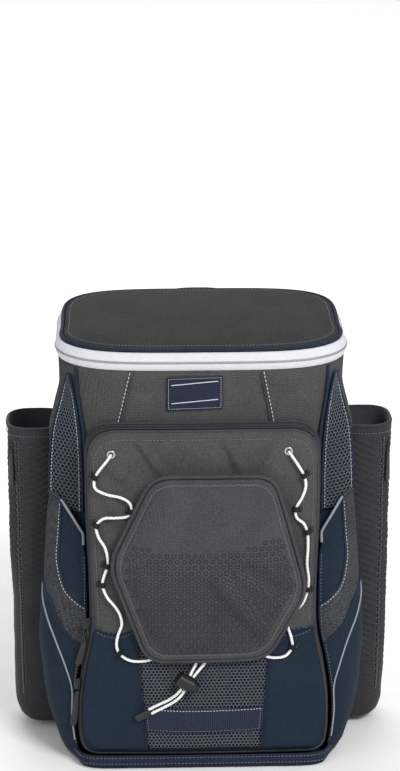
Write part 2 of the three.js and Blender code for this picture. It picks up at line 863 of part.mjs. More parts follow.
function lace(route) {
  return roundBar(laceRoute(route).getPoints(Math.round(1.6 * route.length)), LACE_RADIUS, 5);
}

// A webbing loop that the lace runs through, round one point of its route.
function laceLoop(route, index) {
  const curve = laceRoute(route);
  const t = index / (route.length - 1);
  const centre = curve.getPoint(t);
  const bore = LACE_RADIUS + LOOP_SLACK;
  const geometry = new THREE.LatheGeometry(
    [
      new Vector2(bore, -LOOP_LENGTH / 2),
      new Vector2(bore + LOOP_WALL, -LOOP_LENGTH / 2),
      new Vector2(bore + LOOP_WALL, LOOP_LENGTH / 2),
      new Vector2(bore, LOOP_LENGTH / 2),
      new Vector2(bore, -LOOP_LENGTH / 2),
    ],
    7,
  );
  const turn = new THREE.Quaternion().setFromUnitVectors(
    new Vector3(0, 1, 0),
    curve.getTangent(t),
  );
  return { geometry, centre, turn };
}

// A ring round the lace where it comes out of the pocket.
function eyelet(route) {
  const bore = EYELET_RADIUS - EYELET_RIM * 1.5;
  const geometry = new THREE.LatheGeometry(
    [
      new Vector2(bore, 0),
      new Vector2(EYELET_RADIUS, 0),
      new Vector2(EYELET_RADIUS - EYELET_RIM * 0.3, EYELET_THICKNESS),
      new Vector2(bore + EYELET_RIM * 0.4, EYELET_THICKNESS),
      new Vector2(bore, 0),
    ],
    12,
  );
  const [x, z] = route[0];
  return { geometry, centre: new Vector3(x, pocketFaceY(x, z) - GAP, z) };
}

const LOCK_SLANT = Math.atan2(-0.51, 0.86);
const LOCK_X = -19;
const LOCK_Z = 109;
const LOCK_LIFT = MESH_THICKNESS + 2 * GAP + CORD_LOCK_RADIUS;
const LOCK_CENTRE = new Vector3(LOCK_X, pocketFaceY(LOCK_X, LOCK_Z) - LOCK_LIFT, LOCK_Z);

// The barrel of the cord lock with its narrower push button at one end.
function cordLock() {
  const half = CORD_LOCK_LENGTH / 2;
  const button = CORD_LOCK_RADIUS * 0.72;
  return new THREE.LatheGeometry(
    [
      new Vector2(0, -half),
      new Vector2(CORD_LOCK_RADIUS * 0.86, -half),
      new Vector2(CORD_LOCK_RADIUS, -half * 0.88),
      new Vector2(CORD_LOCK_RADIUS, half * 0.42),
      new Vector2(CORD_LOCK_RADIUS * 0.9, half * 0.5),
      new Vector2(button, half * 0.5),
      new Vector2(button, half * 0.93),
      new Vector2(button * 0.85, half),
      new Vector2(0, half),
    ],
    16,
  );
}

// A free end of the lace, from the cord lock down to the tip that holds both.
function cordTail(route) {
  const sides = 8;
  const section = new THREE.Shape();
  section.absarc(0, 0, LACE_RADIUS, 0, 2 * Math.PI);
  return new THREE.ExtrudeGeometry(new THREE.Shape(section.getSpacedPoints(sides).slice(0, -1)), {
    steps: 8,
    bevelEnabled: false,
    extrudePath: laceRoute(route),
  });
}

// Which way the tip points, across and up
const TIP_DIRECTION = new Vector2(-0.87, -0.49);

function cordTip() {
  const ends = TAILS.map((route) => route.at(-1));
  const start = new Vector2((ends[0][0] + ends[1][0]) / 2, (ends[0][1] + ends[1][1]) / 2);
  const points = steps(3, GAP, GAP + CORD_TIP_LENGTH).map((reach) => {
    const place = start.clone().addScaledVector(TIP_DIRECTION, reach);
    return new Vector3(place.x, pocketFaceY(place.x, place.y) - ends[0][2], place.y);
  });
  const across = points.map(() => new Vector3(-TIP_DIRECTION.y, 0, TIP_DIRECTION.x));
  return flatBar(points, across, CORD_TIP_WIDTH, CORD_TIP_THICKNESS);
}

// Where a slider sits on the left side of the pocket's zip.
function zipPlace(z) {
  const half = pocketHalfWidth(z);
  const y = pocketFaceY(half, z) + POCKET_EDGE_DROP - GAP - SLIDER_THICKNESS / 2;
  return new Vector3(-half - SEAT_GAP - GAP - SLIDER_WIDTH / 2, y, z);
}

// How far a pull swings outward, about Y, to hang beside the pocket's edge below its slider.
function pullTilt(z) {
  const top = z - SLIDER_LENGTH / 2;
  const spread = pocketHalfWidth(top - PULL_LENGTH) - pocketHalfWidth(z);
  return Math.atan2(Math.max(spread, 0) + PULL_CLEARANCE, PULL_LENGTH);
}

function pocketSlider() {
  return new THREE.BoxGeometry(SLIDER_WIDTH, SLIDER_THICKNESS, SLIDER_LENGTH);
}

function zipPull(length) {
  const outline = new THREE.Shape();
  const [half, corner] = [PULL_WIDTH / 2, PULL_WIDTH / 4];
  outline.moveTo(-half + corner, -length);
  outline.lineTo(half - corner, -length);
  outline.quadraticCurveTo(half, -length, half, corner - length);
  outline.lineTo(half * 0.7, 0);
  outline.lineTo(-half * 0.7, 0);
  outline.lineTo(-half, corner - length);
  outline.quadraticCurveTo(-half, -length, -half + corner, -length);
  const geometry = new THREE.ExtrudeGeometry(outline, {
    depth: PULL_THICKNESS,
    bevelEnabled: false,
    curveSegments: 3,
  });
  geometry.translate(0, 0, -PULL_THICKNESS / 2);
  geometry.rotateX(Math.PI / 2);
  return geometry;
}

// Plan section of the side pocket at a height: u runs from its front edge to the sleeve.
function wingPoint(u, w, inset) {
  const mouth = MOUTH_FRONT_HEIGHT + (MOUTH_REAR_HEIGHT - MOUTH_FRONT_HEIGHT) * u;
  const z = POCKET_BOTTOM + (mouth - POCKET_BOTTOM) * w;
  const height = MOUTH_REAR_HEIGHT - POCKET_BOTTOM;
  const row = rowAt(WING_ROWS, (z - POCKET_BOTTOM) / height);
  const frontX = pocketHalfWidth(z) * GUSSET_FLARE + ZIPPER_THICKNESS + 3 * GAP;
  const frontY = -WING_FRONT_REACH * row.front;
  const wideX = WING_WIDTH * row.wide;
  const rearX = bodySideX(WING_REAR - WING_WALL, z) + 2 * SEAT_GAP;
  const turnShare = 0.55;
  let x;
  let y;
  if (u < turnShare) {
    const angle = (u / turnShare) * (Math.PI / 2);
    x = frontX + (wideX - inset - frontX) * Math.sin(angle);
    y = frontY + inset + (row.middle - frontY - inset) * (1 - Math.cos(angle));
  } else {
    const angle = ((u - turnShare) / (1 - turnShare)) * (Math.PI / 2);
    x = rearX + (wideX - inset - rearX) * Math.cos(angle);
    y = row.middle + (WING_REAR - inset - row.middle) * Math.sin(angle);
  }
  return new Vector3(x, y, z);
}

function mirrored(point, side) {
  return new Vector3(point.x * side, point.y, point.z);
}

function sidePocket(side) {
  const columns = steps(11, 0, 1);
  const rows = [0, 0.1, 0.25, 0.42, 0.6, 0.8, 1];
  const at = (inset) => (c, r) => mirrored(wingPoint(c, r, inset), side);
  return plate(grid(rows, columns, at(0)), grid(rows, columns, at(WING_WALL)));
}

function pocketTrim(side) {
  const points = steps(10, 0.03, 0.9).map((u) => {
    const p = wingPoint(u, 1, WING_WALL / 2);
    p.z += TRIM_RADIUS + 2 * GAP;
    return mirrored(p, side);
  });
  return roundBar(points, TRIM_RADIUS, 6);
}

// The mesh panel above the side pocket, between the front's piping and the side.
function sideMesh(side) {
  const bottomShare = (z) => (z - FLOOR_OF_BODY) / (RIM_FRONT_HEIGHT - FLOOR_OF_BODY);
  const low = bottomShare(MOUTH_REAR_HEIGHT - 18);
  const high = bottomShare(MESH_TOP);
  const at = (inset) => (c, r) => {
    const front = -44 + 11 * r ** 3;
    const rear = -19 - 12 * r ** 3;
    const point = bodyPoint(front + (rear - front) * c, low + (high - low) * r, inset);
    return mirrored(point, side);
  };
  const columns = steps(5, 0, 1);
  const rows = steps(6, 0, 1);
  return plate(
    grid(rows, columns, at(-SEAT_GAP - MESH_THICKNESS)),
    grid(rows, columns, at(-SEAT_GAP)),
  );
}

// Section of a sleeve at a share of its height, a superellipse between the bag and its outer face.
function sleeveSection(share, inset, lift) {
  const row = rowAt(SLEEVE_ROWS, share);
  const z = SLEEVE_BOTTOM + share * SLEEVE_HEIGHT + lift;
  const outer = SLEEVE_OUTER * row.outer - inset;
  const beside = Math.max(bodyHalfWidth(z), z < POCKET_BOTTOM ? BASE_WAIST : 0);
  const inner = beside + SEAT_GAP + GAP + inset;
  const depth = (SLEEVE_DEPTH / 2) * row.depth - inset;
  return { middle: (outer + inner) / 2, half: (outer - inner) / 2, depth, z };
}

function sleevePoint(section, turn, side) {
  const angle = MathUtils.degToRad(turn);
  const x = section.middle + section.half * signedPower(Math.cos(angle), 2 / SLEEVE_POWER);
  const y = SLEEVE_CENTRE_Y + section.depth * signedPower(Math.sin(angle), 2 / SLEEVE_POWER);
  return new Vector3(side * x, y, section.z);
}

function sleeveRing(share, inset, lift, side) {
  const section = sleeveSection(share, inset, lift);
  return steps(20, 0, 360)
    .slice(0, -1)
    .map((turn) => sleevePoint(section, turn, side));
}

function batSleeve(side) {
  const levels = [0, 0.02, 0.07, 0.32, 0.64, 1];
  const outer = levels.map((v) => sleeveRing(v, 0, 0, side));
  const inner = levels.map((v) =>
    sleeveRing(v, SLEEVE_WALL, v === 0 ? SLEEVE_WALL : v < 0.05 ? SLEEVE_WALL / 2 : 0, side),
  );
  return loft([...outer, ...inner.reverse()]);
}

// Where the zip pull hangs on a sleeve's outer front corner, and its turn about Z.
function sleevePullPlace(side) {
  const section = sleeveSection(SLEEVE_PULL_SHARE, 0, 0);
  const place = sleevePoint(section, -45, side);
  const away = new Vector3(side * section.depth, -section.half, 0).normalize();
  place.addScaledVector(away, PULL_THICKNESS / 2 + GAP / 2);
  return { place, turn: Math.atan2(away.x, -away.y) };
}

function backPanel() {
  const width = (r) => BACK_PANEL_HALF_WIDTH * (r < 0.06 || r > 0.94 ? 0.9 : 1);
  const at = (lift) => (c, r) => {
    const z = BACK_PANEL_BOTTOM + r * BACK_PANEL_HEIGHT;
    const x = c * width(r);
    const edge = Math.min(1, (1 - Math.abs(c)) * 6, r * 14, (1 - r) * 14);
    const pad = lift > 0 ? 3 + (lift - 3) * Math.sqrt(edge) : 0;
    return new Vector3(x, bodyFaceY(x, z, 1) + SEAT_GAP + pad, z);
  };
  const columns = [-1, -0.88, -0.65, -0.35, -0.08, 0.08, 0.35, 0.65, 0.88, 1];
  const rows = [0, 0.05, 0.16, 0.32, 0.5, 0.68, 0.84, 0.95, 1];
  return plate(
    grid(rows, columns, at(BACK_PANEL_THICKNESS)),
    grid(rows, columns, at(0)),
  );
}

// Route of a shoulder strap: across, behind the bag's back and up.
const STRAP_ROUTE = [
  [44, 5, 432],
  [46, 15, 447],
  [50, 34, 445],
  [60, 58, 417],
  [72, 72, 372],
  [82, 78, 320],
  [89, 74, 260],
  [93, 60, 200],
  [95, 42, 154],
  [96, 32, 130],
];
const STRAP_ANCHOR = [128, 8, 44];

function strapPoints(side) {
  return STRAP_ROUTE.map(
    ([x, behind, z]) => new Vector3(side * x, BODY_BACK + behind + STRAP_THICKNESS / 2, z),
  );
}

function shoulderStrap(side) {
  const curve = new THREE.CatmullRomCurve3(strapPoints(side), false, "centripetal");
  const points = curve.getPoints(16);
  const across = points.map((_, i) => new Vector3(1, 0, side * 0.28 * (1 - i / 8)));
  return flatBar(points, across, STRAP_WIDTH, STRAP_THICKNESS);
}

// The right webbing runs from the buckle at the strap's end down to the bag's lower corner.
function webbingRoute() {
  const end = strapPoints(1).at(-1);
  const [x, behind, z] = STRAP_ANCHOR;
  const anchor = new Vector3(x, BODY_BACK + behind, z);
  const start = end.clone().add(new Vector3(1, -2.4, -BUCKLE_HEIGHT - BUCKLE_GAP - 5 * GAP));
  const below = start.clone().add(new Vector3(0, 0, -4));
  const middle = start.clone().lerp(anchor, 0.55).add(new Vector3(0, 3, -4));
  return [start, below, middle, anchor];
}

function strapWebbing(side) {
  const points = new THREE.CatmullRomCurve3(webbingRoute()).getPoints(8);
  const across = points.map(() => new Vector3(1, 0, 0.36));
  const right = flatBar(points, across, STRAP_WEBBING_WIDTH, STRAP_WEBBING_THICKNESS);
  const places = right.getAttribute("position");
  const corners = Array.from({ length: places.count }, (_, i) =>
    mirrored(new Vector3().fromBufferAttribute(places, i), side),
  );
  return outward(corners, Array.from(right.index.array));
}

function buckleCentre(side) {
  const end = strapPoints(side).at(-1);
  return end.add(new Vector3(side * 0.6, -2.4, -BUCKLE_HEIGHT / 2 - BUCKLE_GAP));
}

function haulHandle() {
  const y = BODY_BACK + HANDLE_WIDTH / 2 + GAP;
  const foot = RIM_BACK_HEIGHT - 12;
  const route = [
    new Vector3(-HANDLE_HALF_SPAN, y, foot),
    new Vector3(-HANDLE_HALF_SPAN, y + 4, foot + HANDLE_RISE * 0.45),
    new Vector3(-HANDLE_HALF_SPAN * 0.6, y + 8, foot + HANDLE_RISE * 0.9),
    new Vector3(0, y + 9, foot + HANDLE_RISE),
    new Vector3(HANDLE_HALF_SPAN * 0.6, y + 8, foot + HANDLE_RISE * 0.9),
    new Vector3(HANDLE_HALF_SPAN, y + 4, foot + HANDLE_RISE * 0.45),
    new Vector3(HANDLE_HALF_SPAN, y, foot),
  ];
  const points = new THREE.CatmullRomCurve3(route, false, "centripetal").getPoints(12);
  const across = points.map(() => new Vector3(0, 1, 0.1));
  return flatBar(points, across, HANDLE_WIDTH, HANDLE_THICKNESS);
}

const COLOURS = {
  charcoal: 0x4a4a4a,
  navy: 0x1d2838,
  white: 0xdcdce4,
  black: 0x111214,
  mesh: 0x39414e,
  silver: 0x9a9da3,
  sleeve: 0x3d3d3f,
};

function fabric(colour) {
  return new THREE.MeshStandardMaterial({ color: colour, roughness: 0.85, metalness: 0 });
}

function plastic(colour) {
  return new THREE.MeshStandardMaterial({ color: colour, roughness: 0.45, metalness: 0 });
}

function metal(colour) {
  return new THREE.MeshStandardMaterial({ color: colour, roughness: 0.3, metalness: 0.9 });
}

const bag = new THREE.Group();

function add(name, geometry, material, parent = bag) {
  const mesh = new THREE.Mesh(geometry, material);
  mesh.name = name;
  parent.add(mesh);
  return mesh;
}

const charcoal = fabric(COLOURS.charcoal);
const navy = fabric(COLOURS.navy);
const white = fabric(COLOURS.white);
const black = plastic(COLOURS.black);
const netting = fabric(COLOURS.mesh);
const neoprene = fabric(COLOURS.sleeve);
const silver = fabric(COLOURS.silver);
const steel = metal(COLOURS.silver);

add("body_shell", bodyShell(), charcoal);
add("base_panel", basePanel(), navy);
add("base_binding", baseBinding(), navy);

const ZIP_LINE = BAND_HEIGHT / 2;
add("zip_band_lower", bandStrip(BAND_TURNS, GAP, ZIP_LINE, 0, BAND_SWELL), white);
add(
  "zip_band_upper",
  bandStrip(BAND_TURNS, ZIP_LINE + GAP, BAND_HEIGHT, BAND_SWELL, -LID_INSET),
  white,
);
add("lid_hinge", bandStrip(HINGE_TURNS, GAP, BAND_HEIGHT, 0, -LID_INSET), charcoal);
add("lid_piping", lidPiping(), navy);
add("lid_top", lidTop(), charcoal);

add("front_pocket", frontPocket(), charcoal);
add("pocket_zipper", pocketZipper(), black);
add("mesh_window", meshWindow(), netting);
add("webbing_band", webbingBand(), navy);
add("label_patch", label(), navy);
SLIDER_HEIGHTS.forEach((z, i) => {
  const slider = add(`pocket_slider_${i + 1}`, pocketSlider(), black);
  slider.position.copy(zipPlace(z));
  const pull = add(`pocket_pull_${i + 1}`, zipPull(PULL_LENGTH), black);
  pull.position.copy(zipPlace(z));
  pull.position.z -= SLIDER_LENGTH / 2 + 2 * GAP;
  pull.rotation.y = pullTilt(z);
});
add("helmet_flap", helmetFlap(), charcoal);
add("flap_binding", flapBinding(), charcoal);

const LACES = [
  { name: "left", route: LACE_LEFT, loops: LOOPS_LEFT },
  { name: "right", route: LACE_RIGHT, loops: LOOPS_RIGHT },
];
for (const { name, route, loops } of LACES) {
  add(`lace_${name}`, lace(route), white);
  const hole = eyelet(route);
  const ring = add(`eyelet_${name}`, hole.geometry, steel);
  ring.position.copy(hole.centre);
  ring.rotation.x = Math.PI;
  loops.forEach((index, i) => {
    const { geometry, centre, turn } = laceLoop(route, index);
    const loop = add(`lace_loop_${name}_${i + 1}`, geometry, black);
    loop.position.copy(centre);
    loop.quaternion.copy(turn);
  });
}

const lock = add("cord_lock", cordLock(), black);
lock.position.copy(LOCK_CENTRE);
lock.rotation.set(0, -LOCK_SLANT, -Math.PI / 2, "YXZ");
TAILS.forEach((route, i) => add(`cord_tail_${i + 1}`, cordTail(route), white));
add("cord_tip", cordTip(), black);

for (const [name, side] of [
  ["left", -1],
  ["right", 1],
]) {
  add(`lower_panel_${name}`, lowerPanel(side), navy);
  add(`side_pocket_${name}`, sidePocket(side), navy);
  add(`pocket_trim_${name}`, pocketTrim(side), silver);
  add(`side_mesh_${name}`, sideMesh(side), netting);
  add(`bat_sleeve_${name}`, batSleeve(side), neoprene);
  add(`shoulder_strap_${name}`, shoulderStrap(side), charcoal);
  add(`strap_webbing_${name}`, strapWebbing(side), black);
  const buckle = add(
    `strap_buckle_${name}`,
    new THREE.BoxGeometry(BUCKLE_WIDTH, BUCKLE_THICKNESS, BUCKLE_HEIGHT),
    black,
  );
  buckle.position.copy(buckleCentre(side));
  const { place, turn } = sleevePullPlace(side);
  const pull = add(`sleeve_pull_${name}`, zipPull(PULL_LENGTH), black);
  pull.position.copy(place);
  pull.rotation.z = turn;
}

add("back_panel", backPanel(), netting);
add("haul_handle", haulHandle(), black);

export default bag;
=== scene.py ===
"""Looks of a baseball bat backpack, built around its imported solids.

Lengths in the classes are in millimetres, and every mesh is made in metres.
"""

import logging
import math
from dataclasses import dataclass
from enum import Enum
from typing import Any, Callable, ClassVar, Optional, Sequence

import bmesh
import bpy
import numpy as np
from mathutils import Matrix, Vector, noise


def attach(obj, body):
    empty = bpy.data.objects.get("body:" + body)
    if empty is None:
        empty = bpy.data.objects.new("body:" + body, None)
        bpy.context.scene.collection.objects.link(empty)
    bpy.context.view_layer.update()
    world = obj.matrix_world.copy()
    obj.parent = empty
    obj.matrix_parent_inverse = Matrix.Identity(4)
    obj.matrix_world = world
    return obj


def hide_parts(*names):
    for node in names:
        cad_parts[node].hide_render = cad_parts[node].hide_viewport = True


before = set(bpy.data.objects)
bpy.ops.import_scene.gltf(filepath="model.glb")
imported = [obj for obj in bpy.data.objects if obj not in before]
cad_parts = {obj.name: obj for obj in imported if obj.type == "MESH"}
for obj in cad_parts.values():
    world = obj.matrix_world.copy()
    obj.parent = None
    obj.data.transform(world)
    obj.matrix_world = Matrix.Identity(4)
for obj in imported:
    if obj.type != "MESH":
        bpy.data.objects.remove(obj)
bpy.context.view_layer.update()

LOG = logging.getLogger("bat_backpack")
MM = 0.001
BODY = "root"

Place = tuple[float, float, float]
Surface = Callable[[float, float], Place]


class Side(Enum):
    """The two sides of the bag, as seen from the front."""

    LEFT = -1
    RIGHT = 1

    @property
    def word(self) -> str:
        """The side's name in the names of pieces and nodes."""
        return self.name.lower()


class Slot(Enum):
    """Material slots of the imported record."""

    CHARCOAL = "charcoal_cloth"
    NAVY = "navy_cloth"
    WHITE_TAPE = "white_zip_tape"
    DARK_TAPE = "dark_zip_tape"
    NETTING = "netting"
    NAVY_WEBBING = "navy_webbing"
    LABEL = "label_cloth"
    ELASTIC = "white_elastic"
    BLACK_WEBBING = "black_webbing"
    PLASTIC = "black_plastic"
    STEEL = "steel"
    PIPING = "silver_piping"
    SLEEVE = "sleeve_cloth"
    PADDED = "padded_cloth"
    SPACER = "spacer_mesh"


def linear(hex_colour: str) -> tuple[float, float, float, float]:
    """Turns an sRGB hex colour to linear light.

    Args:
        hex_colour: Six hex digits.

    Returns:
        Red, green, blue and alpha in linear light.
    """
    shares = [int(hex_colour[i : i + 2], 16) / 255 for i in (0, 2, 4)]
    red, green, blue = (
        c / 12.92 if c <= 0.04045 else ((c + 0.055) / 1.055) ** 2.4 for c in shares
    )
    return red, green, blue, 1.0


def add_node(
    tree: bpy.types.NodeTree, kind: str, links: Optional[dict[str, Any]] = None, **settings: Any
) -> Any:
    """Adds a shader node with its settings, socket values and links.

    Args:
        tree: The node tree that gets the node.
        kind: The node's type, without "ShaderNode".
        links: Per input name or number, an output socket to link or a value to set.
        **settings: The node's own settings.

    Returns:
        The node.
    """
    node = tree.nodes.new("ShaderNode" + kind)
    for name, value in settings.items():
        setattr(node, name, value)
    for name, value in (links or {}).items():
        if isinstance(value, bpy.types.NodeSocket):
            tree.links.new(value, node.inputs[name])
        else:
            node.inputs[name].default_value = value
    return node


def smooth(share: float) -> float:
    """Eases a share from 0 to 1."""
    share = min(max(share, 0.0), 1.0)
    return share * share * (3 - 2 * share)


def ridge(distance: float, reach: float) -> float:
    """A round bump that is 1 at no distance and 0 from reach on."""
    share = min(abs(distance) / reach, 1.0)
    return (1 - share * share) ** 2


def signed_power(value: float, power: float) -> float:
    """A power that keeps its sign."""
    return math.copysign(abs(value) ** power, value)


def steps(count: int, start: float, end: float) -> list[float]:
    """Evenly spaced values from start to end, both included."""
    return [start + (end - start) * i / count for i in range(count + 1)]


def angles(count: int) -> list[float]:
    """Angles in radians at even steps round one turn."""
    return [2 * math.pi * k / count for k in range(count)]


def row_at(rows: Sequence[tuple[float, ...]], share: float) -> list[float]:
    """Reads a table between its rows on a smooth curve.

    Args:
        rows: Rows whose first column is the place along the table.
        share: The place to read.

    Returns:
        The other columns' values there.
    """
    last = len(rows) - 1
    i = 0
    while i < last - 1 and share > rows[i + 1][0]:
        i += 1
    a, b = rows[i], rows[i + 1]
    before, after = rows[max(i - 1, 0)], rows[min(i + 2, last)]
    span = b[0] - a[0]
    t = min(max((share - a[0]) / span, 0.0), 1.0)
    values = []
    for k in range(1, len(a)):
        slope_a = (b[k] - before[k]) / (b[0] - before[0]) * span
        slope_b = (after[k] - a[k]) / (after[0] - a[0]) * span
        values.append(
            a[k] * (2 * t**3 - 3 * t**2 + 1)
            + slope_a * (t**3 - 2 * t**2 + t)
            + b[k] * (3 * t**2 - 2 * t**3)
            + slope_b * (t**3 - t**2)
        )
    return values


def curve_through(points: Sequence[Sequence[float]], count: int, closed: bool = False) -> list[Vector]:
    """A smooth centripetal curve through points.

    Args:
        points: The points in order.
        count: How many spans the result has.
        closed: Whether the curve joins its start.

    Returns:
        Evenly spaced points along the curve.
    """
    places = [Vector(p) for p in points]
    n = len(places)
    spans = n if closed else n - 1
    fine: list[Vector] = []
    for i in range(spans):
        p1, p2 = places[i], places[(i + 1) % n]
        p0 = places[(i - 1) % n] if closed or i > 0 else p1 * 2 - p2
        p3 = places[(i + 2) % n] if closed or i + 2 < n else p2 * 2 - p1
        knots = [0.0]
        for a, b in ((p0, p1), (p1, p2), (p2, p3)):
            knots.append(knots[-1] + max((b - a).length, 1e-6) ** 0.5)
        t0, t1, t2, t3 = knots
        for k in range(12):
            t = t1 + (t2 - t1) * k / 12
            a1 = p0 * ((t1 - t) / (t1 - t0)) + p1 * ((t - t0) / (t1 - t0))
            a2 = p1 * ((t2 - t) / (t2 - t1)) + p2 * ((t - t1) / (t2 - t1))
            a3 = p2 * ((t3 - t) / (t3 - t2)) + p3 * ((t - t2) / (t3 - t2))
            b1 = a1 * ((t2 - t) / (t2 - t0)) + a2 * ((t - t0) / (t2 - t0))
            b2 = a2 * ((t3 - t) / (t3 - t1)) + a3 * ((t - t1) / (t3 - t1))
            fine.append(b1 * ((t2 - t) / (t2 - t1)) + b2 * ((t - t1) / (t2 - t1)))
    fine.append(places[0].copy() if closed else places[-1].copy())
    return evenly(fine, count)[: count if closed else None]


def evenly(points: Sequence[Vector], count: int) -> list[Vector]:
    """Points at even distances along a line of points.

    Args:
        points: The line.
        count: How many spans the result has.

    Returns:
        count + 1 points.
    """
    lengths = [0.0]
    for a, b in zip(points, points[1:]):
        lengths.append(lengths[-1] + (b - a).length)
    made, k = [], 0
    for i in range(count + 1):
        want = lengths[-1] * i / count
        while k < len(points) - 2 and lengths[k + 1] < want:
            k += 1
        span = max(lengths[k + 1] - lengths[k], 1e-9)
        made.append(points[k].lerp(points[k + 1], min(max((want - lengths[k]) / span, 0.0), 1.0)))
    return made


def coil_rings(
    path: Sequence[Vector], normal: Vector, sizes: tuple[float, float], narrow: float
) -> list[list[Vector]]:
    """The rings of a zip's coil, thick at every other place so that its turns show.

    Args:
        path: The coil's line.
        normal: The way that the coil stands out from its tape.
        sizes: The half height at the even and at the odd places.
        narrow: The half width as a share of the half height.

    Returns:
        One ring of points for each place of the line.
    """
    rings = []
    for i, place in enumerate(path):
        along = (path[min(i + 1, len(path) - 1)] - path[max(i - 1, 0)]).normalized()
        out = along.cross(normal).normalized()
        size = sizes[i % 2]
        rings.append(
            [place + out * (narrow * size * math.cos(t)) + normal * (size * math.sin(t)) for t in angles(6)]
        )
    return rings


class MeshBuilder:
    """Collects points and faces in millimetres, then makes one object of them."""

    def __init__(self) -> None:
        """Starts with nothing in it."""
        self.points: list[Place] = []
        self.faces: list[tuple[int, ...]] = []
        self.finishes: list[int] = []

    def add(self, points: Sequence[Sequence[float]], faces: Sequence[Sequence[int]],
            finish: int = 0) -> None:
        """Adds points and the faces between them, in the given finish."""
        start = len(self.points)
        self.points.extend((float(p[0]), float(p[1]), float(p[2])) for p in points)
        self.faces.extend(tuple(start + i for i in face) for face in faces)
        self.finishes.extend([finish] * len(faces))

    def rings(self, rings: Sequence[Sequence[Sequence[float]]], closed: bool = False, caps: bool = True,
              finish: int = 0) -> None:
        """Joins rings of equal length.

        Args:
            rings: The rings in order.
            closed: Whether the last ring joins the first.
            caps: Whether open ends get a fan.
            finish: The material's number.
        """
        n, count = len(rings[0]), len(rings)
        points = [p for ring in rings for p in ring]
        faces: list[tuple[int, ...]] = []
        for r in range(count if closed else count - 1):
            nxt = (r + 1) % count
            for i in range(n):
                j = (i + 1) % n
                faces.append((r * n + i, r * n + j, nxt * n + j, nxt * n + i))
        if caps and not closed:
            for r in (0, count - 1):
                centre = np.mean(np.array([list(p) for p in rings[r]]), axis=0)
                points.append(tuple(centre))
                middle = len(points) - 1
                for i in range(n):
                    j = (i + 1) % n
                    ring = (middle, r * n + j, r * n + i)
                    faces.append(ring if r == 0 else ring[::-1])
        self.add(points, faces, finish)

    def plate(self, outer: Sequence[Sequence[Sequence[float]]], inner: Sequence[Sequence[Sequence[float]]],
              finish: int = 0) -> None:
        """Adds a closed sheet between two grids of points of the same size."""
        rows, columns = len(outer), len(outer[0])
        half = rows * columns
        points = [p for row in outer for p in row] + [p for row in inner for p in row]
        faces: list[tuple[int, ...]] = []
        for r in range(rows - 1):
            for c in range(columns - 1):
                at = r * columns + c
                faces.append((at, at + 1, at + columns + 1, at + columns))
                faces.append((half + at, half + at + columns, half + at + columns + 1, half + at + 1))
        for c in range(columns - 1):
            top = (rows - 1) * columns + c
            faces.append((c, half + c, half + c + 1, c + 1))
            faces.append((top, top + 1, half + top + 1, half + top))
        for r in range(rows - 1):
            left = r * columns
            right = left + columns - 1
            faces.append((left, left + columns, half + left + columns, half + left))
            faces.append((right, half + right, half + right + columns, right + columns))
        self.add(points, faces, finish)

    def bar(self, points: Sequence[Vector], radius: float, sides: int = 8, closed: bool = False,
            finish: int = 0, flat: float = 1.0, reference: Vector = Vector((0, 1, 0)),
            swell: Optional[Callable[[float], float]] = None) -> None:
        """Adds a round or oval bar along points.

        Args:
            points: The bar's centreline.
            radius: Its radius.
            sides: How many sides it has.
            closed: Whether it joins end to end.
            finish: The material's number.
            flat: The share of the radius that it has along the reference.
            reference: The direction in which it is flattened.
            swell: Scales the radius at a share of the length.
        """
        count = len(points)
        rings = []
        for i, p in enumerate(points):
            ahead = points[(i + 1) % count if closed else min(i + 1, count - 1)]
            behind = points[(i - 1) % count if closed else max(i - 1, 0)]
            along = (ahead - behind).normalized()
            up = reference - along * reference.dot(along)
            up = up.normalized() if up.length > 0.05 else along.orthogonal().normalized()
            across = along.cross(up)
            size = radius * (swell(i / max(count - 1, 1)) if swell else 1.0)
            rings.append([
                p + across * (size * math.cos(t)) + up * (size * flat * math.sin(t))
                for t in angles(sides)
            ])
        self.rings(rings, closed=closed, finish=finish)

    def make(self, name: str, *materials: bpy.types.Material, level: int = 0) -> bpy.types.Object:
        """Makes the object, with smooth faces that point out.

        Args:
            name: The piece's name.
            *materials: Its materials in the order of the finishes' numbers.
            level: Levels of subdivision.

        Returns:
            The object, in metres.
        """
        mesh = bpy.data.meshes.new(name)
        mesh.from_pydata([tuple(c * MM for c in p) for p in self.points], [], self.faces)
        for material in materials:
            mesh.materials.append(material)
        mesh.polygons.foreach_set("material_index", self.finishes)
        bm = bmesh.new()
        bm.from_mesh(mesh)
        bmesh.ops.recalc_face_normals(bm, faces=bm.faces)
        bm.to_mesh(mesh)
        bm.free()
        mesh.polygons.foreach_set("use_smooth", [True] * len(mesh.polygons))
        mesh.update()
        obj = bpy.data.objects.new(name, mesh)
        bpy.context.scene.collection.objects.link(obj)
        if level:
            modifier = obj.modifiers.new("soften", "SUBSURF")
            modifier.levels = modifier.render_levels = level
        return obj


def placed(obj: bpy.types.Object, slot: Slot, *nodes: str) -> bpy.types.Object:
    """Rides a piece on the bag and hides the CAD nodes that it stands for.

    Args:
        obj: The piece.
        slot: The record's material slot; not used.
        *nodes: CAD nodes that it replaces.

    Returns:
        The piece.
    """
    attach(obj, BODY)
    if nodes:
        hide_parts(*nodes)
    LOG.info("piece %s, %d faces", obj.name, len(obj.data.polygons) if obj.type == "MESH" else 0)
    return obj


def wave_scale(period_mm: float) -> float:
    """The scale at which a wave texture repeats every period."""
    return 2 * math.pi / (20 * period_mm * MM)


def noise_scale(size_mm: float) -> float:
    """The scale at which a noise texture has spots of that size."""
    return 1 / (size_mm * MM)


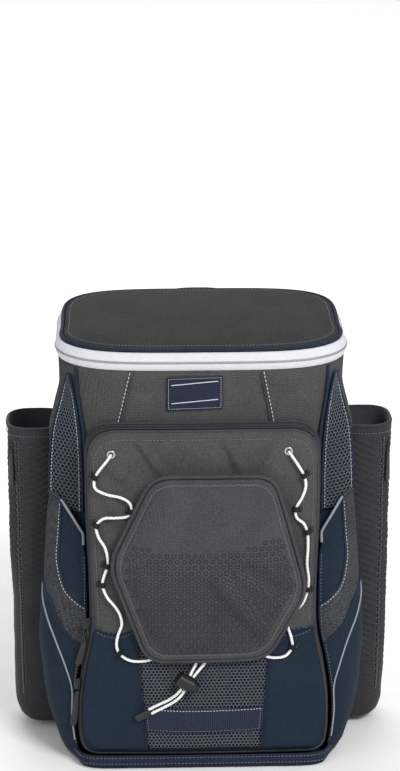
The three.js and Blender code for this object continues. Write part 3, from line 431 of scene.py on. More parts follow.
@dataclass(frozen=True)
class Finish:
    """A surface: its lighter and darker colour, and what its pattern does to them."""

    name: str
    light: str
    dark: str
    roughness: float
    ior: float = 1.5
    metallic: float = 0.0
    sheen: float = 0.0
    mottle_mm: float = 2.4
    relief_mm: float = 0.1
    gloss: ClassVar[float] = 0.5

    def material(self) -> bpy.types.Material:
        """Makes the material once, and returns it after that."""
        found = bpy.data.materials.get(self.name)
        if found:
            return found
        material = bpy.data.materials.new(self.name)
        material.use_nodes = True
        tree = material.node_tree
        shader = tree.nodes["Principled BSDF"]
        shader.inputs["Roughness"].default_value = self.roughness
        shader.inputs["Metallic"].default_value = self.metallic
        if not self.metallic:
            shader.inputs["IOR"].default_value = self.ior
        shader.inputs["Specular IOR Level"].default_value = self.gloss
        if self.sheen:
            shader.inputs["Sheen Weight"].default_value = self.sheen
            shader.inputs["Sheen Roughness"].default_value = 0.5
        self.pattern(tree, shader)
        return material

    def place(self, tree: bpy.types.NodeTree) -> Any:
        """The place on the bag in metres, the same for every piece."""
        return add_node(tree, "TexCoord").outputs["Object"]

    def laid_flat(self, tree: bpy.types.NodeTree) -> Any:
        """A plane place that runs on over front, sides and top: across with x and y, up with z and y."""
        split = add_node(tree, "SeparateXYZ", {0: self.place(tree)})
        back = add_node(tree, "Math", {0: split.outputs["Y"], 1: 0.9}, operation="MULTIPLY")
        across = add_node(tree, "Math", {0: split.outputs["X"], 1: back.outputs[0]}, operation="ADD")
        up = add_node(tree, "Math", {0: split.outputs["Z"], 1: back.outputs[0]}, operation="ADD")
        return add_node(tree, "CombineXYZ", {0: across.outputs[0], 1: up.outputs[0]}).outputs[0]

    def mottled(self, tree: bpy.types.NodeTree, shader: Any, share: Any) -> None:
        """Mixes the two colours by a share from the pattern."""
        ramp = add_node(tree, "ValToRGB", {"Fac": share})
        ramp.color_ramp.elements[0].position = 0.18
        ramp.color_ramp.elements[0].color = linear(self.dark)
        ramp.color_ramp.elements[1].position = 0.82
        ramp.color_ramp.elements[1].color = linear(self.light)
        tree.links.new(ramp.outputs["Color"], shader.inputs["Base Color"])

    def raised(self, tree: bpy.types.NodeTree, shader: Any, height: Any) -> None:
        """Gives the surface its relief."""
        bump = add_node(tree, "Bump", {"Height": height, "Distance": self.relief_mm * MM, "Strength": 1.0})
        tree.links.new(bump.outputs["Normal"], shader.inputs["Normal"])

    def pattern(self, tree: bpy.types.NodeTree, shader: Any) -> None:
        """A plain grain, as on moulded or painted parts."""
        grain = add_node(tree, "TexNoise", {
            "Vector": self.place(tree), "Scale": noise_scale(self.mottle_mm), "Detail": 3.0})
        self.mottled(tree, shader, grain.outputs["Fac"])
        self.raised(tree, shader, grain.outputs["Fac"])


@dataclass(frozen=True)
class WovenCloth(Finish):
    """Plain-woven polyester: two sets of threads over and under each other, in two shades of yarn."""

    thread_mm: float = 1.5
    stain_mm: float = 45.0
    # Most of the yarn's gloss is lost between the threads.
    gloss: ClassVar[float] = 0.14

    def pattern(self, tree: bpy.types.NodeTree, shader: Any) -> None:
        """Threads in relief, yarn in two shades and a slow change over the cloth."""
        flat = self.laid_flat(tree)
        waves = [
            add_node(tree, "TexWave", {"Vector": flat, "Scale": wave_scale(2 * self.thread_mm)},
                     wave_type="BANDS", bands_direction=axis)
            for axis in ("X", "Y")
        ]
        weave = add_node(tree, "Math", {0: waves[0].outputs["Fac"], 1: waves[1].outputs["Fac"]},
                         operation="MULTIPLY")
        yarn = add_node(tree, "TexNoise", {
            "Vector": self.place(tree), "Scale": noise_scale(self.mottle_mm), "Detail": 2.0})
        slow = add_node(tree, "TexNoise", {
            "Vector": self.place(tree), "Scale": noise_scale(self.stain_mm), "Detail": 2.0})
        mix = add_node(tree, "Math", {0: weave.outputs[0], 1: 0.32, 2: yarn.outputs["Fac"]},
                       operation="MULTIPLY_ADD")
        tone = add_node(tree, "Math", {0: slow.outputs["Fac"], 1: 0.45, 2: mix.outputs[0]},
                        operation="MULTIPLY_ADD")
        centred = add_node(tree, "Math", {0: tone.outputs[0], 1: 0.31}, operation="SUBTRACT")
        self.mottled(tree, shader, centred.outputs[0])
        self.raised(tree, shader, mix.outputs[0])


@dataclass(frozen=True)
class RibbedTape(Finish):
    """Webbing or tape, woven in ribs: the ribs run across or along it, and catch the light one by one."""

    rib_mm: float = 2.4
    direction: str = "X"
    gloss: ClassVar[float] = 0.2

    def pattern(self, tree: bpy.types.NodeTree, shader: Any) -> None:
        """Ribs in relief and a little yarn shade."""
        ribs = add_node(tree, "TexWave", {
            "Vector": self.place(tree), "Scale": wave_scale(self.rib_mm), "Distortion": 0.4,
            "Detail": 1.0}, wave_type="BANDS", bands_direction=self.direction)
        yarn = add_node(tree, "TexNoise", {
            "Vector": self.place(tree), "Scale": noise_scale(self.mottle_mm), "Detail": 2.0})
        mix = add_node(tree, "Math", {0: ribs.outputs["Fac"], 1: 0.45, 2: yarn.outputs["Fac"]},
                       operation="MULTIPLY_ADD")
        centred = add_node(tree, "Math", {0: mix.outputs[0], 1: 0.22}, operation="SUBTRACT")
        self.mottled(tree, shader, centred.outputs[0])
        self.raised(tree, shader, mix.outputs[0])


@dataclass(frozen=True)
class BraidedCord(Finish):
    """Braided elastic: short slanting strands round a rubber core."""

    strand_mm: float = 2.2

    def pattern(self, tree: bpy.types.NodeTree, shader: Any) -> None:
        """Two slanting sets of strands, crossed."""
        strands = [
            add_node(tree, "TexWave", {"Vector": self.place(tree), "Scale": wave_scale(self.strand_mm)},
                     wave_type="BANDS", bands_direction=axis)
            for axis in ("DIAGONAL", "Z")
        ]
        crossed = add_node(tree, "Math", {0: strands[0].outputs["Fac"], 1: strands[1].outputs["Fac"]},
                           operation="MAXIMUM")
        self.mottled(tree, shader, crossed.outputs[0])
        self.raised(tree, shader, crossed.outputs[0])


class Finishes:
    """The bag's finishes. Patterns finer than about 1.5 mm are drawn at that size, so that they show."""

    # Heathered 600-denier polyester, piece-dyed in two greys and plain-woven. The real threads are
    # 0.4 mm; at 1.5 mm they still read as the fine grain that breaks up the soft sheen.
    CHARCOAL = WovenCloth("Polyester600_HeatherCharcoal", "525253", "393939", 0.88, 1.5, 0.0, 0.0, 1.9, 0.12)
    # The lid's panel is cut from the same cloth; its colours here are darker, which is painted shade for the
    # darker look of the top face.
    SHADED_LID = WovenCloth("Polyester600_LidCharcoal_PaintedShade", "404041", "2a2a2b", 0.9, 1.5, 0.0, 0.0, 1.9, 0.12)
    # The same cloth drawn tight over the flap's foam, so it looks a little darker and smoother.
    FLAP = WovenCloth("Polyester600_FlapCharcoal", "4d4d4f", "353537", 0.78, 1.5, 0.0, 0.0, 1.9, 0.1)
    # 420-denier nylon, dyed navy and coated behind, woven tighter: darker and a little smoother.
    NAVY = WovenCloth("Nylon420_Navy", "202d3c", "151f2c", 0.78, 1.53, 0.0, 0.0, 2.1, 0.1)
    # The grey side panel, a small-figured ripstop that looks coarser than the front.
    RIPSTOP = WovenCloth("Ripstop_Grey", "4a4b50", "25262a", 0.8, 1.53, 0.0, 0.0, 2.8, 0.3, 1.9)
    # Coil zip tape in white polyester, pressed flat, so it is the brightest and smoothest cloth.
    WHITE_TAPE = WovenCloth("ZipTape_WhitePolyester", "d6d5da", "cdccd2", 0.7, 1.5, 0.0, 0.0, 5.0, 0.03, 1.5)
    # Black zip tape with ribs along it, dull beside the coil's small highlights.
    DARK_TAPE = RibbedTape("ZipTape_BlackPolyester", "3e3e44", "28282d", 0.8, 1.5, 0.0, 0.0, 1.6, 0.2, 2.0,
                           "Z")
    # Coil teeth: drawn nylon monofilament, with a small waxy highlight on each turn.
    COIL_GREY = Finish("ZipCoil_GreyNylon", "a9a8ae", "77767e", 0.4, 1.53, 0.0, 0.0, 1.0, 0.05)
    COIL_BLACK = Finish("ZipCoil_BlackNylon", "1c1c20", "0c0c0e", 0.35, 1.53, 0.0, 0.0, 1.0, 0.05)
    # Knitted spacer mesh: soft matt yarn whose open cells show the dark layer under it.
    NET_YARN = Finish("KnitMesh_GreyYarn", "7c808a", "575b66", 0.8, 1.5, 0.0, 0.0, 1.3, 0.12)
    NET_NAVY = Finish("KnitMesh_NavyYarn", "727783", "505560", 0.8, 1.5, 0.0, 0.0, 1.3, 0.12)
    NET_GROUND = WovenCloth("KnitMesh_DarkGround", "1c2029", "0e1118", 0.9, 1.5, 0.0, 0.0, 2.2, 0.2)
    # Navy polyester webbing with ribs across it, 2.4 mm apart.
    NAVY_WEBBING = RibbedTape("Webbing_NavyPolyester", "2d3449", "151b2c", 0.7, 1.5, 0.0, 0.0, 1.4, 0.35,
                              2.4)
    # Black polypropylene webbing, whose ribs give it a duller, coarser look than the cloth.
    BLACK_WEBBING = RibbedTape("Webbing_BlackPolypropylene", "26262a", "0f0f12", 0.65, 1.49, 0.0, 0.0, 1.4,
                               0.3,
                               2.0, "Z")
    # Bias binding: a narrow navy or charcoal tape folded round a cord, so it has a soft highlight.
    NAVY_BINDING = WovenCloth("BiasBinding_Navy", "273143", "161f2d", 0.7, 1.5, 0.0, 0.0, 1.7, 0.1)
    GREY_BINDING = WovenCloth("BiasBinding_Charcoal", "4a4a4f", "333337", 0.72, 1.5, 0.0, 0.0, 1.7, 0.1)
    # Glass-bead reflective tape: grey in soft light, finely grained and nearly matt.
    SILVER = Finish("ReflectiveTape_Silver", "979ba5", "767a84", 0.42, 1.5, 0.0, 0.0, 1.2, 0.05)
    # Spun sewing threads: soft and matt, so that each stitch reads as a small dash.
    THREAD = Finish("SewingThread_WhitePolyester", "d9dade", "b2b4ba", 0.6, 1.5, 0.0, 0.1, 0.8, 0.05)
    DARK_THREAD = Finish("SewingThread_Grey", "7b7c80", "5c5d61", 0.6, 1.5, 0.0, 0.1, 0.8, 0.05)
    # Woven damask label: satin navy ground, so it has more sheen than the cloth.
    LABEL = WovenCloth("DamaskLabel_Navy", "262c40", "181e2e", 0.5, 1.5, 0.0, 0.05, 1.6, 0.06)
    # Braided elastic: white yarn whose crossing strands shade it lightly.
    ELASTIC = BraidedCord("ElasticCord_WhiteBraid", "f4f4f2", "c9c9cc", 0.62, 1.5, 0.0, 0.1, 1.2, 0.2)
    # Injection-moulded acetal: smooth, a little waxy, with a fine spark-eroded grain.
    ACETAL = Finish("Acetal_BlackMoulded", "1b1b1d", "101012", 0.38, 1.48, 0.0, 0.0, 0.9, 0.03)
    # Soft PVC for the pulls and the lace's tip: duller than acetal.
    PVC = Finish("SoftPVC_Black", "1e1e21", "131315", 0.5, 1.53, 0.0, 0.0, 1.2, 0.04)
    # Nickel-plated steel eyelets, tumbled: bright with a slightly uneven gloss.
    NICKEL = Finish("Steel_NickelPlated", "c9cacc", "aaabae", 0.28, 1.5, 1.0, 0.0, 2.0, 0.02)
    # Polyurethane film pressed on the flap's cloth: darker than the cloth, and glossy.
    FILM = Finish("PolyurethaneFilm_Charcoal", "2c2d31", "1f2024", 0.16, 1.5, 0.0, 0.0, 2.0, 0.03)
    # Polyurethane-coated cloth of the sleeves, embossed under heat: even colour and a low satin gloss.
    SLEEVE = WovenCloth("CoatedCloth_EmbossedGrey", "3c3c3e", "29292b", 0.6, 1.5, 0.0, 0.0, 1.8, 0.08)
    # Thin taffeta, seen only as an even dark inside the mouths.
    LINING = WovenCloth("LiningTaffeta_Grey", "3a3b40", "2a2b30", 0.7, 1.5, 0.0, 0.0, 2.0, 0.08)
    # Air mesh over foam on the back: matt, dark, with fine open cells.
    AIR_MESH = WovenCloth("AirMesh_Black", "3a3c41", "1e1f23", 0.92, 1.5, 0.0, 0.04, 1.8, 0.5, 2.0)


@dataclass
class Studio:
    """The plain pale room and the camera, placed as for the photograph."""

    distance: float = 3000.0
    elevation: float = 16.0
    azimuth: float = -2.0
    aim: Place = (0.0, 0.0, 416.8)
    mm_per_pixel: float = 1.14
    image: tuple[int, int] = (400, 771)
    sensor: float = 36.0

    def camera(self) -> bpy.types.Object:
        """Makes the scene's camera: the long side of the picture is the sensor's side."""
        data = bpy.data.cameras.new("Camera")
        data.sensor_width = self.sensor
        data.lens = self.sensor * self.distance / (self.mm_per_pixel * self.image[1])
        data.clip_end = 50.0
        eye = bpy.data.objects.new("Camera", data)
        turn, rise = math.radians(self.azimuth), math.radians(self.elevation)
        back = Vector((math.sin(turn) * math.cos(rise), -math.cos(turn) * math.cos(rise), math.sin(rise)))
        eye.location = (Vector(self.aim) + back * self.distance) * MM
        eye.rotation_euler = back.to_track_quat("Z", "Y").to_euler()
        bpy.context.scene.collection.objects.link(eye)
        bpy.context.scene.camera = eye
        return eye

    def lamp(self, name: str, place: Place, target: Place, size: float, power: float) -> None:
        """Hangs a soft square lamp that faces a target."""
        data = bpy.data.lights.new(name, "AREA")
        data.shape = "SQUARE"
        data.size = size
        data.energy = power
        lamp = bpy.data.objects.new(name, data)
        lamp.location = place
        lamp.rotation_euler = (Vector(place) - Vector(target)).to_track_quat("Z", "Y").to_euler()
        bpy.context.scene.collection.objects.link(lamp)

    def room(self) -> None:
        """Lays the wide pale floor, and hangs the lamps and the pale surround."""
        floor = MeshBuilder()
        half, level = 12000.0, -0.5
        floor.add([(-half, -half, level), (half, -half, level), (half, half, level), (-half, half, level)],
                  [(0, 1, 2, 3)])
        paper = Finish("BackdropPaper_White", "ffffff", "fafafa", 0.95, 1.45, 0.0, 0.0, 60.0, 0.05)
        floor.make("floor", paper.material())
        world = bpy.data.worlds.new("Surround")
        world.use_nodes = True
        world.node_tree.nodes["Background"].inputs["Color"].default_value = (1.0, 1.0, 1.0, 1.0)
        world.node_tree.nodes["Background"].inputs["Strength"].default_value = 0.5
        bpy.context.scene.world = world
        bpy.context.scene.view_settings.view_transform = "Standard"
        bag = (0.0, 0.0, 0.27)
        self.lamp("key", (1.3, -2.4, 2.4), bag, 1.2, 76.0)
        self.lamp("fill", (-1.9, -2.2, 1.2), bag, 1.8, 15.0)
        self.lamp("rear", (-0.9, 2.3, 1.5), bag, 1.8, 14.0)
        self.lamp("backdrop", (0.0, 4.2, 3.2), (0.0, 4.2, 0.0), 3.4, 110.0)
        LOG.info("room ready")


@dataclass
class StitchLine:
    """A seam's dashes along a line of points, each dash a short raised thread."""

    dash: float = 3.0
    pitch: float = 4.6
    radius: float = 0.5

    def sew(self, builder: MeshBuilder, points: Sequence[Vector], finish: int = 0) -> None:
        """Adds the dashes to a builder.

        Args:
            builder: Gets the dashes.
            points: The seam's line.
            finish: The thread's material number.
        """
        length = sum((b - a).length for a, b in zip(points, points[1:]))
        count = max(int(length / self.pitch), 1)
        fine = evenly(points, count * 4)
        for k in range(count):
            piece = fine[4 * k : 4 * k + 4]
            share = self.dash / self.pitch
            builder.bar([piece[0], piece[1], piece[2], piece[2].lerp(piece[3], share * 0.4)],
                        self.radius, 5, finish=finish)


@dataclass
class Netting:
    """Knitted mesh: yarn round rows of open cells, laid over a surface."""

    pitch: float = 4.0
    yarn: float = 0.62
    thickness: float = 0.8

    def lay(self, builder: MeshBuilder, surface: Surface, across: tuple[float, float],
            up: tuple[float, float],
            inside: Callable[[float, float], bool], finish: int = 0) -> None:
        """Covers a region with cells, each a raised six-sided ring.

        Args:
            builder: Gets the yarn.
            surface: Gives the place of a point across and up, lifted by the yarn's thickness.
            across: The region's reach across.
            up: The region's reach up.
            inside: Says whether a cell's centre is in the region.
            finish: The yarn's material number.
        """
        row_pitch = self.pitch * 0.86
        rows = int((up[1] - up[0]) / row_pitch)
        columns = int((across[1] - across[0]) / self.pitch)
        radius = self.pitch * 0.58
        hole = radius - self.yarn * 1.25
        for r in range(rows + 1):
            for c in range(columns + 1):
                u = across[0] + (c + 0.5 * (r % 2)) * self.pitch
                v = up[0] + r * row_pitch
                if not inside(u, v):
                    continue
                turns = [math.radians(30 + 60 * k) for k in range(6)]
                outer = [surface(u + radius * math.cos(t), v + radius * math.sin(t)) for t in turns]
                inner = [surface(u + hole * math.cos(t), v + hole * math.sin(t)) for t in turns]
                crest = [
                    surface(u + (hole + radius) / 2 * math.cos(t), v + (hole + radius) / 2 * math.sin(t))
                    for t in turns
                ]
                normal = self.normal(surface, u, v)
                raised = [Vector(p) + normal * self.thickness for p in crest]
                points = outer + raised + inner
                faces = []
                for k in range(6):
                    j = (k + 1) % 6
                    faces.append((k, j, 6 + j, 6 + k))
                    faces.append((6 + k, 6 + j, 12 + j, 12 + k))
                    faces.append((12 + k, 12 + j, j, k))
                builder.add(points, faces, finish)

    @staticmethod
    def normal(surface: Surface, u: float, v: float) -> Vector:
        """The surface's outward direction at a place across and up."""
        here = Vector(surface(u, v))
        right = Vector(surface(u + 0.5, v)) - here
        above = Vector(surface(u, v + 0.5)) - here
        return right.cross(above).normalized()


@dataclass
class MainBag:
    """The upright main compartment: its wall, side bulges, seams, base and binding."""

    half_width: float = 154.0
    front: float = 92.0
    back: float = 100.0
    wall: float = 3.0
    power: float = 4.0
    rim_front: float = 460.0
    rim_back: float = 483.0
    bulge: float = 14.0
    bulge_centre: float = -47.0
    bulge_reach: float = 37.0
    puff_depth: float = 11.5
    puff_centre: float = -32.0
    puff_reach: float = 40.0
    floor: float = 3.4
    base_thickness: float = 3.0
    base_half_width: float = 163.0
    base_front: float = 127.0
    base_back: float = 103.0
    binding_height: float = 13.0
    binding_thickness: float = 2.4
    gap: float = 0.4
    rows: tuple[tuple[float, ...], ...] = (
        (0.0, 0.94, 0.93, 0.96, 0.0),
        (0.1, 0.985, 0.95, 1.0, 0.35),
        (0.3, 1.0, 0.93, 1.04, 0.8),
        (0.55, 0.995, 0.92, 1.05, 1.0),
        (0.8, 1.0, 0.945, 1.03, 0.85),
        (1.0, 1.03, 1.0, 1.0, 0.25),
    )
    base_outline: tuple[tuple[float, float], ...] = (
        (0.0, -1.0), (0.45, -0.998), (0.78, -0.98), (0.855, -0.92), (0.89, -0.8), (0.985, -0.5),
        (0.99, -0.3), (0.94, -0.1), (0.925, 0.4), (0.9, 0.8), (0.78, 0.97), (0.4, 1.0), (0.0, 1.0),
    )

    def rim(self, y: float) -> float:
        """Height of the slanted rim at a distance from front to back."""
        return self.rim_front + (self.rim_back - self.rim_front) * (y + self.front) / (
            self.front + self.back
        )

    def bulge_at(self, y: float) -> float:
        """Share of the side bulge at a distance from front to back."""
        t = min(max((y - self.bulge_centre) / self.bulge_reach, -1.0), 1.0)
        return math.cos(math.pi / 2 * t) ** 2

    def section(self, share: float, inset: float = 0.0) -> tuple[float, float, float, float]:
        """Half width, middle, half depth and bulge of the plan section at a share of the height."""
        width, front, back, bulge = row_at(self.rows, share)
        near = -self.front * front + inset
        far = self.back * back - inset
        return self.half_width * width - inset, (near + far) / 2, (far - near) / 2, self.bulge * bulge

    def point(self, turn: float, share: float, inset: float = 0.0) -> Vector:
        """A point of the skin: turn 0 is the right side, -90 the front and 90 the back."""
        half, middle, depth, bulge = self.section(share, inset)
        angle = math.radians(turn)
        y = middle + depth * signed_power(math.sin(angle), 2 / self.power)
        side = signed_power(math.cos(angle), 2 / self.power)
        x = side * half + side * bulge * self.bulge_at(y)
        return Vector((x, y, self.floor + share * (self.rim(y) - self.floor)))

    def face_y(self, x: float, z: float, side: int) -> float:
        """Where the skin's front (side -1) or back (side 1) lies at a place across and up."""
        y = -self.front if side < 0 else self.back
        for _ in range(6):
            share = (z - self.floor) / (self.rim(y) - self.floor)
            half, middle, depth, bulge = self.section(min(max(share, 0.0), 1.0))
            across = min(abs(x) / (half + bulge * self.bulge_at(y)), 0.999)
            y = middle + side * depth * (1 - across**self.power) ** (1 / self.power)
        return y

    def side_x(self, y: float, z: float) -> float:
        """Half of the bag's width at a place front to back and up."""
        share = (z - self.floor) / (self.rim(y) - self.floor)
        half, middle, depth, bulge = self.section(min(max(share, 0.0), 1.0))
        along = min(abs(y - middle) / depth, 1.0)
        return (half + bulge * self.bulge_at(y)) * (1 - along**self.power) ** (1 / self.power)

    def puff(self, y: float, z: float) -> float:
        """How far the foam of the side panel stands out, in front of the sleeve and over the side pocket."""
        along = min(abs(y - self.puff_centre) / self.puff_reach, 1.0)
        height = smooth((440.0 - z) / 60.0) * smooth((z - 282.0) / 30.0)
        return self.puff_depth * math.cos(math.pi / 2 * along) ** 2 * height

    def turns(self, count: int = 168) -> list[float]:
        """Turns round the section, close together where it runs straight."""
        quarter = [90 * (0.5 - 0.5 * math.cos(math.pi * k * 4 / count)) for k in range(count // 4)]
        return [start + turn for start in (-270, -180, -90, 0) for turn in quarter]

    def creased(self, turn: float, share: float) -> Vector:
        """A point of the skin with its soft folds: slack below the rim and along the sides.

        Args:
            turn: The turn round the section.
            share: The share of the height.

        Returns:
            The point.
        """
        p = self.point(turn, share)
        inward = Vector((-p.x, -(p.y - 4.0), 0)).normalized()
        fade = smooth(share / 0.06) * smooth((1 - share) / 0.05)
        slow = noise.noise(Vector((p.x * 0.014, p.y * 0.016, p.z * 0.011 + 3.0)))
        sharp = abs(noise.noise(Vector((p.x * 0.025 + p.z * 0.012, p.y * 0.022, p.z * 0.03))))
        p += inward * fade * (1.3 + 1.5 * slow + 1.6 * (0.35 - sharp))
        p.x += math.copysign(self.puff(p.y, p.z), p.x)
        return p

    def skin(self) -> bpy.types.Object:
        """The wall in charcoal and navy cloth, folded a little, with its lining inside."""
        turns = self.turns()
        levels = steps(64, 0.0, 1.0)
        outer = [[self.creased(t, v) for t in turns] for v in levels]
        inner = [[self.point(t, v, self.wall) for t in turns] for v in (1.0, 0.8, 0.6, 0.4, 0.2, 0.02)]
        builder = MeshBuilder()
        n = len(turns)
        builder.rings(outer + inner, closed=True, caps=False)
        for index in range(len(builder.faces)):
            ring, column = divmod(index, n)
            if ring >= len(outer) - 1:
                builder.finishes[index] = 1 if ring < len(outer) + len(inner) - 1 else 0
                continue
            place = outer[ring][column]
            if abs(place.x) > 118 and -84 < place.y < 8 and place.z < 310:
                builder.finishes[index] = 2
        skin = builder.make("bag_skin", Finishes.CHARCOAL.material(), Finishes.LINING.material(),
                            Finishes.NAVY.material())
        placed(skin, Slot.CHARCOAL, "body_shell")
        return skin

    def on_front(self, x: float, z: float, lift: float) -> Vector:
        """A place on the front of the skin, lifted off it."""
        return Vector((x, self.face_y(x, z, -1) - lift, z))

    def seams(self) -> None:
        """The front's two seams with their white stitches, and the piping down the front's edges."""
        builder = MeshBuilder()
        for (top_x, top_z), (low_x, low_z) in (((-77.0, 458.0), (-91.0, 398.0)),
                                               ((64.0, 458.0), (76.0, 398.0))):
            line = [
                self.on_front(top_x + (low_x - top_x) * t, top_z + (low_z - top_z) * t, 0.3)
                for t in steps(12, 0.0, 1.0)
            ]
            builder.bar(line, 1.2, 6, finish=1)
            away = Vector((math.copysign(3.4, top_x), -0.3, 0))
            StitchLine().sew(builder, [p + away for p in line])
        seams = builder.make("front_seams", Finishes.THREAD.material(), Finishes.GREY_BINDING.material())
        placed(seams, Slot.CHARCOAL)
        piping = MeshBuilder()
        for side in Side:
            line = [
                self.edge_place(side, z) for z in steps(40, 460.0, 120.0)
            ]
            piping.bar(line, 2.0, 8)
        placed(piping.make("edge_piping", Finishes.NAVY_BINDING.material()), Slot.NAVY)

    def edge_place(self, side: Side, z: float) -> Vector:
        """Where the piping between front and side lies at a height."""
        x = 140.0 - 10.0 * smooth((448 - z) / 90)
        y = self.face_y(x, z, -1)
        return Vector((side.value * x, y - 0.7, z))

    def outline(self, inset: float, count: int = 120) -> list[Vector]:
        """The base's outline as plan points."""
        half = [
            Vector((w * (self.base_half_width - inset),
                    d * ((self.base_front if d < 0 else self.base_back) - inset), 0.0))
            for w, d in self.base_outline
        ]
        right = curve_through(half, count // 2)
        return right + [Vector((-p.x, p.y, 0)) for p in right[-2:0:-1]]

    def base(self) -> None:
        """The base panel with its rolled edge, and the hem round it with two rows of stitches."""
        def ring(inset: float, z: float) -> list[Vector]:
            return [Vector((p.x, p.y, z)) for p in self.outline(inset)]

        panel = MeshBuilder()
        edge = self.binding_thickness
        panel.rings([ring(60, 0.35), ring(edge + 3, 0.0), ring(edge + 0.8, 0.5), ring(edge, 1.5),
                     ring(edge, self.base_thickness)])
        placed(panel.make("base_cloth", Finishes.NAVY.material()), Slot.NAVY, "base_panel")
        low = self.base_thickness + self.gap
        high = low + self.binding_height
        hem = MeshBuilder()
        hem.rings([ring(edge * 0.75, low), ring(edge * 0.35, low + 1.0), ring(0.1, low + 5.0),
                   ring(0.6, low + 6.2), ring(0.0, low + 7.6), ring(0.0, high - 1.0), ring(0.8, high),
                   ring(edge, high), ring(edge * 1.5, low)], closed=True, caps=False)
        stitches = StitchLine(dash=2.6, pitch=4.2, radius=0.35)
        for z, inset in ((low + 3.0, 0.2), (high - 2.6, -0.2)):
            line = ring(inset, z)
            stitches.sew(hem, line + line[:1], finish=1)
        binding = hem.make("base_hem", Finishes.NAVY_BINDING.material(), Finishes.DARK_THREAD.material())
        placed(binding, Slot.NAVY, "base_binding")

    def label(self) -> None:
        """The woven patch on the front, bare but for its border and two plain lines."""
        centre, width, bottom, height = -9.0, 61.0, 415.0, 38.0
        tilt = 0.03

        def at(u: float, v: float, lift: float) -> Vector:
            x = centre + u * width / 2
            z = bottom + height * (v + 1) / 2 + tilt * (x - centre)
            return self.on_front(x, z, lift)

        shares = steps(24, -1.0, 1.0)
        builder = MeshBuilder()

        def thick(u: float, v: float) -> float:
            border = max(abs(u) - 0.93, abs(v) - 0.88)
            return 1.3 + 0.35 * smooth(border / 0.03)

        builder.plate([[at(u, v, thick(u, v)) for u in shares] for v in shares],
                      [[at(u, v, 0.3) for u in shares] for v in shares])
        for v, reach in ((0.62, (-0.85, 0.85)), (-0.5, (-0.85, 0.85))):
            line = [at(u, v + 0.1 * u, 1.4) for u in steps(20, *reach)]
            builder.bar(line, 0.55, 6, finish=1, flat=0.5)
        frame_line = [at(u, v, 1.55) for u, v in (
            [(u, 0.92) for u in steps(14, -0.95, 0.95)] + [(0.95, v) for v in steps(8, 0.92, -0.92)]
            + [(u, -0.92) for u in steps(14, 0.95, -0.95)] + [(-0.95, v) for v in steps(8, -0.92, 0.92)])]
        StitchLine(dash=1.8, pitch=2.8, radius=0.28).sew(builder, frame_line, finish=1)
        patch = builder.make("label_patch_cloth", Finishes.LABEL.material(), Finishes.THREAD.material())
        placed(patch, Slot.LABEL, "label_patch")

    def build(self) -> None:
        """Builds the main compartment."""
        self.skin()
        self.seams()
        self.base()
        self.label()


